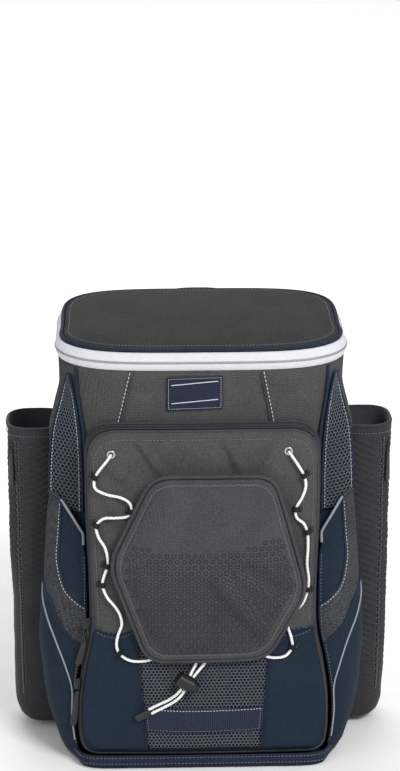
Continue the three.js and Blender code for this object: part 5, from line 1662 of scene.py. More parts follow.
@dataclass
class Lacing:
    """The elastic lace through its loops, its eyelets, the cord lock and the two free ends."""

    pocket: FrontPocket
    radius: float = 1.6
    lift: float = 5.2
    loop_length: float = 6.0
    slack: float = 1.3
    loop_wall: float = 0.8
    lock_radius: float = 8.5
    lock_length: float = 26.0
    lock_place: tuple[float, float] = (-19.0, 109.0)
    lock_slant: float = math.atan2(-0.51, 0.86)
    tip: tuple[float, float, float] = (9.0, 5.0, 18.0)
    tip_direction: tuple[float, float] = (-0.87, -0.49)
    left: tuple[tuple[float, ...], ...] = (
        (-102, 371, 1.2), (-106, 366), (-120, 346), (-120, 334), (-108, 327), (-91, 323), (-82, 317),
        (-80, 307), (-84, 302), (-98, 300), (-111, 299), (-119, 291), (-117, 278), (-110, 266),
        (-107, 254), (-107, 244), (-111, 233), (-113, 222), (-108, 208), (-100, 198), (-94, 188),
        (-92, 176), (-96, 164), (-98, 152), (-95, 142), (-84, 134), (-68, 133), (-52, 138),
        (-34, 148), (-16, 149), (-8, 141), (-9, 130), (-12.5, 124, 7.6), (-16.1, 117.7, 10.8),
    )
    right: tuple[tuple[float, ...], ...] = (
        (94, 373, 1.2), (98, 368), (111, 346), (113, 334), (109, 321), (102, 308), (103, 298),
        (111, 291), (115, 281), (116, 264), (115, 244), (117, 226), (116, 214), (111, 199),
        (100, 186), (94, 174), (98, 158), (99, 147), (92, 137), (78, 135), (62, 140), (40, 149),
        (18, 149), (5, 141), (1, 131), (-5, 124, 7.2), (-12.7, 115.7, 10.8),
    )
    tails: tuple[tuple[tuple[float, float, float], ...], ...] = (
        ((-25.3, 102.3, 10.8), (-31, 95, 9.6), (-40, 87.4, 7.4), (-50, 82, 6.8), (-57, 78.6, 7.2),
         (-62.6, 75.8, 7.8)),
        ((-21.9, 100.3, 10.8), (-27.5, 91.4, 9.4), (-37, 83, 7.2), (-47, 77.2, 6.8), (-55, 73.2, 7.2),
         (-59.6, 70.8, 7.8)),
    )
    loops_left: tuple[int, ...] = (2, 7, 11, 15, 17, 24)
    loops_right: tuple[int, ...] = (2, 5, 8, 12, 17)

    def route(self, table: Sequence[Sequence[float]], count: int) -> list[Vector]:
        """A cord's line over the pocket from its table of across, up and distance off the face."""
        points = [self.pocket.on_face(p[0], p[1], p[2] if len(p) > 2 else self.lift) for p in table]
        return curve_through(points, count)

    def free_ends(self) -> None:
        """The two free ends below the lock, each as long as the photograph shows, and their tip."""
        tip = self.end_tip()
        for number, table in enumerate(self.tails, 1):
            line = self.route(table, 32)
            builder = MeshBuilder()
            builder.bar(line, self.radius, 12)
            tail = builder.make(f"lace_end_{number}", Finishes.ELASTIC.material())
            placed(tail, Slot.ELASTIC, f"cord_tail_{number}")
            length = sum((b - a).length for a, b in zip(line, line[1:])) * MM
            LOG.info("lace end %d is %.1f mm long", number, length / MM)

    def end_tip(self) -> bpy.types.Object:
        """The flat soft tip that holds both ends, with two ribs pressed in it."""
        width, thick, length = self.tip
        ends = [table[-1] for table in self.tails]
        start = ((ends[0][0] + ends[1][0]) / 2, (ends[0][1] + ends[1][1]) / 2)
        dx, dz = self.tip_direction
        rings = []
        for s in steps(20, 0.0, 1.0):
            reach = 0.4 + length * s
            x, z = start[0] + dx * reach, start[1] + dz * reach
            centre = self.pocket.on_face(x, z, ends[0][2])
            rib = 1 - 0.12 * (0.2 < s < 0.3) - 0.12 * (0.4 < s < 0.5)
            end = math.sqrt(min(s / 0.1 + 0.35, (1 - s) / 0.12 + 0.25, 1.0))
            half_w = width / 2 * (0.8 + 0.2 * smooth(s * 2)) * end
            rings.append([
                centre + Vector((-dz, 0, dx)) * (half_w * signed_power(math.cos(t), 0.6))
                + Vector((0, 1, 0)) * (thick / 2 * rib * end * signed_power(math.sin(t), 0.7))
                for t in angles(20)
            ])
        builder = MeshBuilder()
        builder.rings(rings)
        return placed(builder.make("lace_tip", Finishes.PVC.material()), Slot.PLASTIC, "cord_tip")

    def held(self) -> None:
        """The lace itself, left and right, with its webbing loops and eyelets."""
        for name, table, loops in (("left", self.left, self.loops_left),
                                   ("right", self.right, self.loops_right)):
            builder = MeshBuilder()
            builder.bar(self.route(table, 330), self.radius, 10)
            placed(builder.make(f"elastic_{name}", Finishes.ELASTIC.material()), Slot.ELASTIC,
                   f"lace_{name}")
            for number, index in enumerate(loops, 1):
                self.loop(name, number, table, index)
            self.eyelet(name, table[0])

    def loop(self, name: str, number: int, table: Sequence[Sequence[float]], index: int) -> None:
        """A webbing loop round the lace, with the tab that is sewn to the pocket."""
        points = [self.pocket.on_face(p[0], p[1], p[2] if len(p) > 2 else self.lift) for p in table]
        centre = points[index]
        along = (points[index + 1] - points[index - 1]).normalized()
        out = Vector((0, -1, 0))
        out = (out - along * out.dot(along)).normalized()
        across = along.cross(out)
        bore = self.radius + self.slack * 0.5
        builder = MeshBuilder()
        rings = []
        for a, wide in ((-1.0, 0.0), (-0.96, 1.0), (0.96, 1.0), (1.0, 0.0), (0.9, -0.05), (-0.9, -0.05)):
            size = bore + self.loop_wall * 1.3 * wide
            rings.append([
                centre + along * (a * self.loop_length / 2) + across * (size * math.cos(t))
                + out * (size * math.sin(t))
                for t in angles(20)
            ])
        builder.rings(rings, closed=True, caps=False)
        outward = 1 if centre.x > 0 else -1
        away = across if across.x * outward > 0 else -across
        reach = 5.0
        foot = centre + away * (bore + reach)
        foot.y = self.pocket.face_y(foot.x, foot.z) - 1.0 - 0.9 * self.pocket.fold(foot.x, foot.z)
        start = centre + away * (bore * 0.7) - out * (bore * 0.4)
        tab = []
        for s in steps(6, 0.0, 1.0):
            p = start.lerp(foot, s)
            p.y = start.y + (foot.y - start.y) * smooth(s * 1.4)
            tab.append([p + along * (self.loop_length / 2 * w) + Vector((0, d, 0))
                        for w, d in ((-1, 0.6), (1, 0.6), (1, -0.6), (-1, -0.6))])
        builder.rings(tab)
        StitchLine(dash=1.6, pitch=2.4, radius=0.28).sew(
            builder, [foot - away * 1.5 + along * (w * 2.6) + Vector((0, -0.8, 0)) for w in (-1, 0, 1)],
            finish=1)
        piece = builder.make(f"webbing_loop_{name}_{number}", Finishes.BLACK_WEBBING.material(),
                             Finishes.DARK_THREAD.material())
        placed(piece, Slot.BLACK_WEBBING, f"lace_loop_{name}_{number}")

    def eyelet(self, name: str, start: Sequence[float]) -> None:
        """A pressed ring round the lace where it leaves the pocket."""
        x, z = start[0], start[1]
        centre = self.pocket.on_face(x, z, 0.5 + 0.9 * self.pocket.fold(x, z))
        profile = ((2.4, 0.0), (5.0, 0.0), (4.9, 0.6), (4.2, 1.0), (3.3, 1.05), (2.6, 0.7))
        builder = MeshBuilder()
        builder.rings([
            [centre + Vector((r * math.cos(t), -h, r * math.sin(t))) for r, h in profile]
            for t in angles(40)
        ], closed=True, caps=False)
        placed(builder.make(f"eyelet_ring_{name}", Finishes.NICKEL.material()), Slot.STEEL, f"eyelet_{name}")

    def lock(self) -> None:
        """The cord lock: a ribbed barrel with a narrower push button."""
        x, z = self.lock_place
        centre = Vector((x, self.pocket.face_y(x, z) - self.pocket.mesh - 0.8 - self.lock_radius, z))
        axis = Vector((math.cos(self.lock_slant), 0, math.sin(self.lock_slant)))
        up = Vector((-axis.z, 0, axis.x))
        out = Vector((0, -1, 0))
        half, r = self.lock_length / 2, self.lock_radius
        button = r * 0.72
        profile = [(-half, 0.5 * r), (-half, 0.74 * r), (-half + 0.8, 0.86 * r), (-half * 0.86, 0.97 * r)]
        for k in range(7):
            place = -half * 0.72 + k * half * 0.16
            profile += [(place, r), (place + 0.5, r), (place + 0.8, r * 0.955), (place + 1.4, r * 0.955)]
        profile += [(half * 0.42, r), (half * 0.5, r * 0.93), (half * 0.5, button * 1.05),
                    (half * 0.52, button),
                    (half * 0.86, button), (half * 0.95, button * 0.9), (half, button * 0.7)]
        builder = MeshBuilder()
        builder.rings([
            [centre + axis * a + up * (s * math.cos(t)) + out * (s * math.sin(t))
             for t in angles(40)]
            for a, s in profile
        ])
        placed(builder.make("cord_lock_body", Finishes.ACETAL.material()), Slot.PLASTIC, "cord_lock")

    def build(self) -> None:
        """Builds the held lace and the lock."""
        self.held()
        self.lock()


@dataclass
class SidePocket:
    """A side of the bag: navy pocket with its grey panel and silver line, trim and mesh above."""

    side: Side
    bag: MainBag
    pocket: FrontPocket
    width: float = 185.0
    wall: float = 2.0
    front_reach: float = 104.0
    rear: float = -12.0
    mouth: tuple[float, float] = (247.0, 305.0)
    hug: float = 9.0
    trim_radius: float = 1.6
    mesh: float = 1.5
    mesh_top: float = 448.0
    lower_seam: tuple[tuple[float, float], ...] = (
        (0.0, 138.0), (0.05, 143.0), (0.2, 160.0), (0.31, 185.0), (0.55, 209.0), (1.0, 228.0),
    )
    wedge_seam: tuple[tuple[float, float], ...] = (
        (184.0, 0.0), (189.0, 0.054), (204.0, 0.166), (236.0, 0.268), (262.0, 0.305), (300.0, 0.345),
    )
    silver_line: tuple[tuple[float, float], ...] = (
        (0.56, 203.0), (0.47, 186.0), (0.35, 166.0), (0.23, 141.0), (0.12, 115.0), (0.04, 90.0),
        (0.035, 60.0),
        (0.04, 28.0),
    )
    rows: tuple[tuple[float, ...], ...] = (
        (0.0, 0.885, 1.0, -60.0), (0.14, 0.957, 1.0, -52.0), (0.34, 1.0, 0.98, -48.0),
        (0.52, 0.998, 0.92, -48.0), (0.76, 0.965, 0.85, -48.0), (1.0, 0.94, 0.79, -48.0),
    )

    def mouth_at(self, u: float) -> float:
        """Height of the mouth: it climbs steeply at the front and runs level round the side."""
        return self.mouth[1] - (self.mouth[1] - self.mouth[0]) * (1 - min(u / 0.5, 1.0)) ** 2

    def point(self, u: float, w: float, inset: float = 0.0) -> Vector:
        """A point of the pocket's wall: u runs from its front edge to the sleeve, w up to the mouth."""
        mouth = self.mouth_at(u)
        z = self.pocket.bottom + (mouth - self.pocket.bottom) * w
        wide, front, middle = row_at(self.rows,
                                     (z - self.pocket.bottom) / (self.mouth[1] - self.pocket.bottom))
        front_x = self.pocket.half_at(z) * self.pocket.flare + 2.8
        front_y = -self.front_reach * front
        wide_x = self.width * wide
        rear_x = self.bag.side_x(self.rear - self.wall, z) + 1.8
        bend = 0.55
        if u < bend:
            angle = u / bend * math.pi / 2
            x = front_x + (wide_x - inset - front_x) * math.sin(angle)
            y = front_y + inset + (middle - front_y - inset) * (1 - math.cos(angle))
        else:
            angle = (u - bend) / (1 - bend) * math.pi / 2
            x = rear_x + (wide_x - inset - rear_x) * math.cos(angle)
            y = middle + (self.rear - inset - middle) * math.sin(angle)
        near = self.hug * smooth((w - 0.7) / 0.3) * smooth(u / 0.1) * smooth((0.62 - u) / 0.3)
        return Vector(((x - near) * self.side.value, y + 0.4 * near, z))

    def soft(self, u: float, w: float, lift: float = 0.0) -> Vector:
        """A point of the wall with its folds, lifted off it."""
        p = self.point(u, w)
        ahead, above = self.point(min(u + 0.01, 1.0), w), self.point(u, min(w + 0.01, 1.0))
        back, below = self.point(max(u - 0.01, 0.0), w), self.point(u, max(w - 0.01, 0.0))
        normal = (ahead - back).cross(above - below).normalized()
        if normal.x * self.side.value < 0 and normal.y > -0.2:
            normal = -normal
        if normal.dot(Vector((self.side.value, -1, 0))) < 0:
            normal = -normal
        fade = smooth(u / 0.08) * smooth((1 - u) / 0.08)
        slow = noise.noise(Vector((p.y * 0.02, p.z * 0.018, 11.0 * self.side.value)))
        crease = abs(noise.noise(Vector((p.y * 0.03 + p.z * 0.02, p.z * 0.035, 4.0))))
        return p + normal * (fade * (1.2 * slow - 1.3 * (crease - 0.25)) + lift)

    def region(self, u: float, z: float) -> int:
        """Which cloth a place is: 0 navy, 1 the grey small-figured panel that sweeps down to the front."""
        low = float(np.interp(u, *zip(*self.lower_seam)))
        front = float(np.interp(z, *zip(*self.wedge_seam)))
        return 1 if z > low and u > front else 0

    def at_height(self, u: float, z: float, lift: float) -> Vector:
        """A point of the wall at a height, lifted off it."""
        return self.soft(u, (z - self.pocket.bottom) / (self.mouth_at(u) - self.pocket.bottom), lift)

    def wall_piece(self) -> None:
        """The pocket's wall with its panels, seams and silver line."""
        columns = steps(96, 0.0, 1.0)
        rows = steps(110, 0.0, 1.0)
        outer = [[self.soft(u, w) for u in columns] for w in rows]
        inner = [[self.point(u, w, self.wall) for u in columns] for w in rows]
        builder = MeshBuilder()
        builder.plate(outer, inner)
        for index in range((len(rows) - 1) * (len(columns) - 1)):
            r, c = divmod(index, len(columns) - 1)
            if self.region(columns[c], outer[r][c].z):
                builder.finishes[2 * index] = 1
        wall = builder.make("side_wall_" + self.side.word, Finishes.NAVY.material(),
                            Finishes.RIPSTOP.material())
        placed(wall, Slot.NAVY, "side_pocket_" + self.side.word)
        lines = MeshBuilder()

        stitches = StitchLine(dash=2.6, pitch=4.0, radius=0.45)
        wedge = curve_through([self.at_height(u, z, 0.3) for z, u in self.wedge_seam], 60)
        lines.bar(wedge, 1.3, 6, finish=3)
        beside = curve_through([self.at_height(u + 0.022, z - 1.0, 0.4) for z, u in self.wedge_seam], 60)
        stitches.sew(lines, beside)
        lower = curve_through([self.at_height(u, z, 0.4) for u, z in self.lower_seam], 70)
        lines.bar(lower, 1.7, 6, finish=3)
        path = curve_through([self.at_height(u, z, 0.4) for u, z in self.silver_line], 70)
        lines.bar(path, 1.5, 8, finish=2, flat=0.35, reference=Vector((0.75 * self.side.value, -0.65, 0)))
        for u in (0.02, 0.98):
            stitches.sew(lines, [self.soft(u, w, 0.5) for w in steps(60, 0.03, 0.97)], finish=1)
        trim = lines.make("side_lines_" + self.side.word, Finishes.THREAD.material(),
                          Finishes.DARK_THREAD.material(), Finishes.SILVER.material(),
                          Finishes.NAVY_BINDING.material())
        placed(trim, Slot.PIPING)

    def trim(self) -> None:
        """The silver trim along the pocket's mouth."""
        builder = MeshBuilder()
        for finish, low, high in ((0, 0.03, 0.36), (1, 0.37, 0.94)):
            line = []
            for u in steps(60, low, high):
                p = self.point(u, 1.0, self.wall / 2)
                p.z += self.trim_radius + 0.4
                line.append(p)
            builder.bar(line, self.trim_radius, 10, finish=finish)
        name = "pocket_trim_" + self.side.word
        placed(builder.make(name + "_tape", Finishes.SILVER.material(), Finishes.GREY_BINDING.material()),
               Slot.PIPING, name)

    def lens_point(self, c: float, r: float, lift: float) -> Vector:
        """A point of the mesh panel over the pocket, by shares across and up."""
        low = (self.mouth[1] - 18 - self.bag.floor) / (self.bag.rim_front - self.bag.floor)
        high = (self.mesh_top - self.bag.floor) / (self.bag.rim_front - self.bag.floor)
        front, rear = -44 + 11 * r**3, -19 - 12 * r**3
        p = self.bag.point(front + (rear - front) * c, low + (high - low) * r, -0.9 - lift)
        return Vector(((p.x + self.bag.puff(p.y, p.z)) * self.side.value, p.y, p.z))

    def lens(self) -> None:
        """The coarse knitted mesh panel: dark ground, raised cells, and a stitched edge."""
        columns, rows = steps(16, 0.0, 1.0), steps(40, 0.0, 1.0)
        ground = MeshBuilder()
        ground.plate([[self.lens_point(c, r, 0.7) for c in columns] for r in rows],
                     [[self.lens_point(c, r, 0.0) for c in columns] for r in rows])
        name = "side_mesh_" + self.side.word
        placed(ground.make(name + "_ground", Finishes.NET_GROUND.material()), Slot.NETTING, name)
        width, height = 38.0, self.mesh_top - self.mouth[1] + 18
        net = MeshBuilder()
        flip = self.side.value

        def surface(u: float, v: float) -> Place:
            c = 0.5 + flip * (u / width)
            return tuple(self.lens_point(c, v / height, 1.0))

        Netting(pitch=4.6, yarn=0.6, thickness=0.6).lay(
            net, surface, (-width / 2, width / 2), (0.0, height),
            lambda u, v: abs(u) < width / 2 - 2.4 and 2.4 < v < height - 2.4)
        placed(net.make(name + "_net", Finishes.NET_NAVY.material()), Slot.NETTING)
        edge = MeshBuilder()
        for c in (0.0, 1.0):
            line = [self.lens_point(c, r, 0.8) for r in steps(50, 0.0, 1.0)]
            edge.bar(line, 1.4, 8, finish=1)
            StitchLine(dash=2.6, pitch=4.0, radius=0.45).sew(
                edge,
                [self.lens_point(c + (0.09 if c < 0.5 else -0.09), r, 1.3) for r in steps(50, 0.02, 0.98)])
        placed(edge.make(name + "_edge", Finishes.THREAD.material(), Finishes.NAVY_BINDING.material()),
               Slot.NAVY)

    def build(self) -> None:
        """Builds this side."""
        self.wall_piece()
        self.trim()
        self.lens()


@dataclass
class BatSleeve:
    """An open bat sleeve in embossed cloth, its hemmed rim, the zip's line down its front, and the pull of
    its zip.
    """

    side: Side
    bag: MainBag
    outer: float = 222.0
    depth: float = 84.0
    centre_y: float = 34.0
    bottom: float = 8.0
    height: float = 362.0
    wall: float = 2.5
    power: float = 3.0
    row_pitch: float = 8.0
    wave: tuple[float, float] = (17.0, 3.0)
    pull_share: float = 0.93
    pull: tuple[float, float, float] = (8.0, 2.6, 44.0)
    rows: tuple[tuple[float, ...], ...] = (
        (0.0, 0.925, 0.84), (0.02, 0.957, 0.93), (0.07, 0.976, 0.98), (0.5, 0.988, 1.0), (1.0, 1.0, 1.0),
    )

    def section(self, share: float, inset: float, lift: float = 0.0) -> tuple[float, float, float, float]:
        """Middle, half width, half depth and height of the section at a share of the height."""
        outer, depth = row_at(self.rows, share)
        z = self.bottom + share * self.height + lift
        far = self.outer * outer - inset
        up = (z - self.bag.floor) / (self.bag.rim(self.centre_y) - self.bag.floor)
        beside = self.bag.section(min(max(up, 0.0), 1.0))[0]
        if z < 16.8:
            beside = max(beside, self.bag.base_half_width * 0.94)
        near = beside + 1.3 + inset
        return (far + near) / 2, (far - near) / 2, self.depth / 2 * depth - inset, z

    def point(self, share: float, turn: float, inset: float = 0.0, lift: float = 0.0) -> Vector:
        """A point of the sleeve: turn 0 is its outer face and -90 its front."""
        middle, half, depth, z = self.section(share, inset, lift)
        angle = math.radians(turn)
        x = middle + half * signed_power(math.cos(angle), 2 / self.power)
        y = self.centre_y + depth * signed_power(math.sin(angle), 2 / self.power)
        return Vector((self.side.value * x, y, z))

    def embossed(self, share: float, turn: float) -> Vector:
        """A point of the outside, with its folds and the pressed wavy rows of the upper half."""
        p = self.point(share, turn)
        middle, half, depth, _ = self.section(share, 0.0)
        out = Vector((p.x - self.side.value * middle, (p.y - self.centre_y) * half / depth, 0)).normalized()
        run = p.y + p.x * self.side.value
        period, sway = self.wave
        wave = math.sin(2 * math.pi * (p.z + sway * math.sin(2 * math.pi * run / period)) / self.row_pitch)
        start = 0.35 if self.side is Side.LEFT else 0.04
        strength = 0.85 * smooth((share - start) / 0.25) * smooth((0.965 - share) / 0.02)
        slow = noise.noise(Vector((p.x * 0.015, p.y * 0.02, p.z * 0.012)))
        crease = abs(noise.noise(Vector((run * 0.022, p.z * 0.028 + run * 0.01, 6.0 * self.side.value))))
        fade = smooth(share / 0.08)
        outward = max(math.cos(math.radians(turn)), 0.0) ** 0.5 if math.cos(math.radians(turn)) > 0 else 0.0
        relief = strength * wave + fade * outward * (1.4 * slow - 1.8 * (crease - 0.22))
        return p + out * min(relief, 2.0)

    def cloth(self) -> None:
        """The hollow sleeve."""
        turns = steps(96, 0.0, 360.0)[:-1]
        levels = [0.0, 0.004, 0.01, 0.02, 0.035] + steps(300, 0.05, 1.0)
        outer = [[self.embossed(v, t) for t in turns] for v in levels]
        inner_levels = (1.0, 0.64, 0.32, 0.07, 0.02)
        inner = [[self.point(v, t, self.wall) for t in turns] for v in inner_levels]
        inner.append([self.point(0.0, t, self.wall, self.wall) for t in turns])
        builder = MeshBuilder()
        builder.rings(outer + inner)
        n = len(turns)
        for index in range(len(builder.finishes)):
            if index // n >= len(outer) and index < n * (len(outer) + len(inner) - 1):
                builder.finishes[index] = 1
        name = "bat_sleeve_" + self.side.word
        cloth = builder.make(name + "_cloth", Finishes.SLEEVE.material(), Finishes.LINING.material())
        placed(cloth, Slot.SLEEVE, name)

    def hems(self) -> None:
        """The hemmed rim, the zip's line down the front and its stitches."""
        builder = MeshBuilder()
        turns = steps(96, 0.0, 360.0)
        builder.bar([self.point(0.995, t, 0.6) for t in turns[:-1]], 1.9, 8, closed=True)
        stitches = StitchLine(dash=2.6, pitch=4.0, radius=0.4)
        stitches.sew(builder, [self.point(0.972, t, -0.5) for t in turns], finish=1)
        for turn in (-62.0, -54.0):
            stitches.sew(builder,
                         [self.embossed(v, turn) + Vector((0, -0.4, 0)) for v in steps(150, 0.1, 0.96)],
                         finish=1)
        seam = [self.embossed(v, -58.0) + Vector((0, -0.2, 0)) for v in steps(150, 0.1, 0.96)]
        builder.bar(seam, 1.3, 6, finish=2)
        name = "sleeve_hem_" + self.side.word
        piece = builder.make(name, Finishes.SLEEVE.material(), Finishes.DARK_THREAD.material(),
                             Finishes.COIL_BLACK.material())
        placed(piece, Slot.SLEEVE)

    def zip_pull(self) -> None:
        """The corded pull that hangs at the sleeve's outer front corner."""
        width, thick, length = self.pull
        _, half, depth, _ = self.section(self.pull_share, 0.0)
        place = self.point(self.pull_share, -45.0)
        away = Vector((self.side.value * depth, -half, 0)).normalized()
        place = place + away * (thick / 2 + 0.9)
        across = Vector((-away.y, away.x, 0))
        builder = MeshBuilder()
        loop = [
            place + away * (1.4 * math.sin(math.pi * s)) + across * (2.2 * math.sin(2 * math.pi * s))
            + Vector((0, 0, 6 - 12 * abs(2 * s - 1)))
            for s in steps(30, 0.0, 1.0)
        ]
        builder.bar(loop[:-1], 0.9, 6, closed=True)
        rings = []
        for s in steps(18, 0.12, 1.0):
            end = math.sqrt(min((s - 0.12) / 0.06 + 0.3, (1 - s) / 0.06 + 0.3, 1.0))
            size = width / 2 * (0.72 + 0.28 * smooth(s)) * end
            rings.append([
                place + Vector((0, 0, -length * s)) + across * (size * signed_power(math.cos(t), 0.6))
                + away * (thick / 2 * end * signed_power(math.sin(t), 0.6))
                for t in angles(16)
            ])
        builder.rings(rings)
        name = "sleeve_pull_" + self.side.word
        placed(builder.make(name + "_grip", Finishes.PVC.material()), Slot.PLASTIC, name)

    def build(self) -> None:
        """Builds this sleeve."""
        self.cloth()
        self.hems()
        self.zip_pull()


@dataclass
class BackHarness:
    """What the wearer feels: the padded back panel, two shoulder straps and the haul handle."""

    bag: MainBag
    panel_half: float = 110.0
    panel_bottom: float = 34.0
    panel_height: float = 392.0
    panel_thickness: float = 12.0
    strap: tuple[float, float] = (66.0, 11.0)
    strap_points: int = 36
    webbing: tuple[float, float] = (25.0, 1.8)
    buckle: tuple[float, float, float] = (34.0, 7.0, 28.0)
    buckle_gap: float = 2.0
    handle: tuple[float, float, float, float] = (12.0, 6.0, 52.0, 29.0)
    anchor: Place = (128.0, 8.0, 44.0)
    route: tuple[Place, ...] = (
        (44, 5, 432), (46, 15, 447), (50, 34, 445), (60, 58, 417), (72, 72, 372), (82, 78, 320),
        (89, 74, 260), (93, 60, 200), (95, 42, 154), (96, 32, 130),
    )

    def pad_at(self, c: float, r: float) -> Vector:
        """A point of the back panel's outer face: two pads beside an air channel, quilted across."""
        z = self.panel_bottom + r * self.panel_height
        corner = smooth(min(r, 1 - r) / 0.05)
        x = c * self.panel_half * (0.93 + 0.07 * corner)
        edge = min((1 - abs(c)) * 7, r * 16, (1 - r) * 16, 1.0)
        pad = 2.4 + (self.panel_thickness - 2.4) * math.sqrt(max(edge, 0.0))
        pad -= 5.5 * ridge(c, 0.16) * edge
        for seam in (0.2, 0.4, 0.6, 0.8):
            pad -= 3.2 * ridge(r - seam, 0.022) * edge * smooth((abs(c) - 0.14) / 0.05)
        pad += 0.6 * noise.noise(Vector((x * 0.03, z * 0.03, 1.0))) * edge
        return Vector((x, self.bag.face_y(x, z, 1) + 0.9 + max(pad, 1.6), z))

    def panel(self) -> None:
        """The padded panel in air mesh, with bound edges and quilting stitches."""
        columns, rows = steps(72, -1.0, 1.0), steps(150, 0.0, 1.0)
        outer = [[self.pad_at(c, r) for c in columns] for r in rows]
        inner = [[Vector((p.x, self.bag.face_y(p.x, p.z, 1) + 0.9, p.z)) for p in row] for row in outer]
        builder = MeshBuilder()
        builder.plate(outer, inner)
        pad = builder.make("back_pad", Finishes.AIR_MESH.material())
        placed(pad, Slot.SPACER, "back_panel")
        edge = MeshBuilder()
        rim = ([outer[0][c] for c in range(73)] + [outer[r][72] for r in range(1, 151)]
               + [outer[150][c] for c in range(71, -1, -1)] + [outer[r][0] for r in range(149, 0, -1)])
        edge.bar(evenly([p + Vector((0, 0.2, 0)) for p in rim] + [rim[0] + Vector((0, 0.2, 0))], 400)[:-1],
                 1.8, 8, closed=True)
        stitches = StitchLine(dash=2.6, pitch=4.0, radius=0.4)
        for seam in (0.2, 0.4, 0.6, 0.8):
            for low, high in ((-0.93, -0.17), (0.17, 0.93)):
                stitches.sew(edge,
                             [self.pad_at(c, seam) + Vector((0, 0.3, 0)) for c in steps(30, low, high)],
                             finish=1)
        piece = edge.make("back_pad_edge", Finishes.GREY_BINDING.material(), Finishes.DARK_THREAD.material())
        placed(piece, Slot.PADDED)

    def strap_line(self, side: Side, count: int) -> list[tuple[Vector, Vector, Vector]]:
        """The strap's centreline with its width and thickness directions."""
        thick = self.strap[1]
        points = [Vector((side.value * x, self.bag.back + behind + thick / 2, z)) for x, behind,
                  z in self.route]
        line = curve_through(points, count)
        made = []
        for i, p in enumerate(line):
            along = (line[min(i + 1, count)] - line[max(i - 1, 0)]).normalized()
            wide = Vector((1, 0, side.value * 0.28 * (1 - 2 * i / count)))
            normal = along.cross(wide).normalized()
            made.append((p, normal.cross(along).normalized(), normal))
        return made

    def shoulder_strap(self, side: Side) -> None:
        """The padded strap: cloth outside, air mesh inside, bound edges and a webbing keeper."""
        count = 110
        line = self.strap_line(side, count)
        width, thick = self.strap
        rings, edges = [], ([], [])
        for i, (p, wide, normal) in enumerate(line):
            s = i / count
            end = math.sqrt(max(min(s / 0.03, (1 - s) / 0.03, 1.0), 0.1))
            half = (width / 2 - 1.6) * (0.9 + 0.1 * end)
            wrinkle = 0.35 * noise.noise(Vector((p.x * 0.04, p.y * 0.04, p.z * 0.06)))
            ring = []
            for t in angles(self.strap_points):
                a = signed_power(math.cos(t), 0.6)
                b = signed_power(math.sin(t), 0.75)
                swell = (1 - 0.35 * abs(a) ** 3) * end
                ring.append(p + wide * (half * a) + normal * ((thick / 2 * swell + wrinkle) * b))
            rings.append(ring)
            for line_edge, sign in zip(edges, (-1, 1)):
                line_edge.append(p + wide * (sign * (half + 0.2)))
        builder = MeshBuilder()
        builder.rings(rings)
        inner_side = 1 if line[count // 2][2].y < 0 else -1
        for index in range(count * self.strap_points):
            k = index % self.strap_points
            up = math.sin(2 * math.pi * (k + 0.5) / self.strap_points)
            if up * inner_side > 0.1:
                builder.finishes[index] = 1
        name = "shoulder_strap_" + side.word
        pad = builder.make(name + "_pad", Finishes.CHARCOAL.material(), Finishes.AIR_MESH.material())
        placed(pad, Slot.PADDED, name)
        trim = MeshBuilder()
        for edge in edges:
            trim.bar(edge[1:-1], 1.7, 8)
        outside = -inner_side
        rows = []
        for p, wide, normal in line[30:98]:
            lift = normal * (outside * (thick / 2 + 0.5))
            rows.append([p + lift + wide * (w * 10.0) + normal * (outside * h)
                         for w, h in ((-1, 0.0), (-1, 1.2), (1, 1.2), (1, 0.0))])
        trim.rings(rows, finish=1)
        stitches = StitchLine(dash=2.6, pitch=4.0, radius=0.4)
        for i in (32, 48, 64, 80, 96):
            p, wide, normal = line[i]
            lift = normal * (outside * (thick / 2 + 1.9))
            stitches.sew(trim, [p + lift + wide * (8.0 * w) for w in (-1, -0.5, 0, 0.5, 1)], finish=2)
        for sign in (-1, 1):
            stitches.sew(trim,
                         [p + wide * (sign * (width / 2 - 6.5)) + normal * (outside * (thick * 0.38 + 0.4))
                                for p, wide, normal in line[4:-4]], finish=2)
        piece = trim.make(name + "_trim", Finishes.GREY_BINDING.material(),
                          Finishes.BLACK_WEBBING.material(),
                          Finishes.DARK_THREAD.material())
        placed(piece, Slot.BLACK_WEBBING)

    def strap_end(self) -> Vector:
        """Where the right strap's padding ends."""
        x, behind, z = self.route[-1]
        return Vector((x, self.bag.back + behind + self.strap[1] / 2, z))

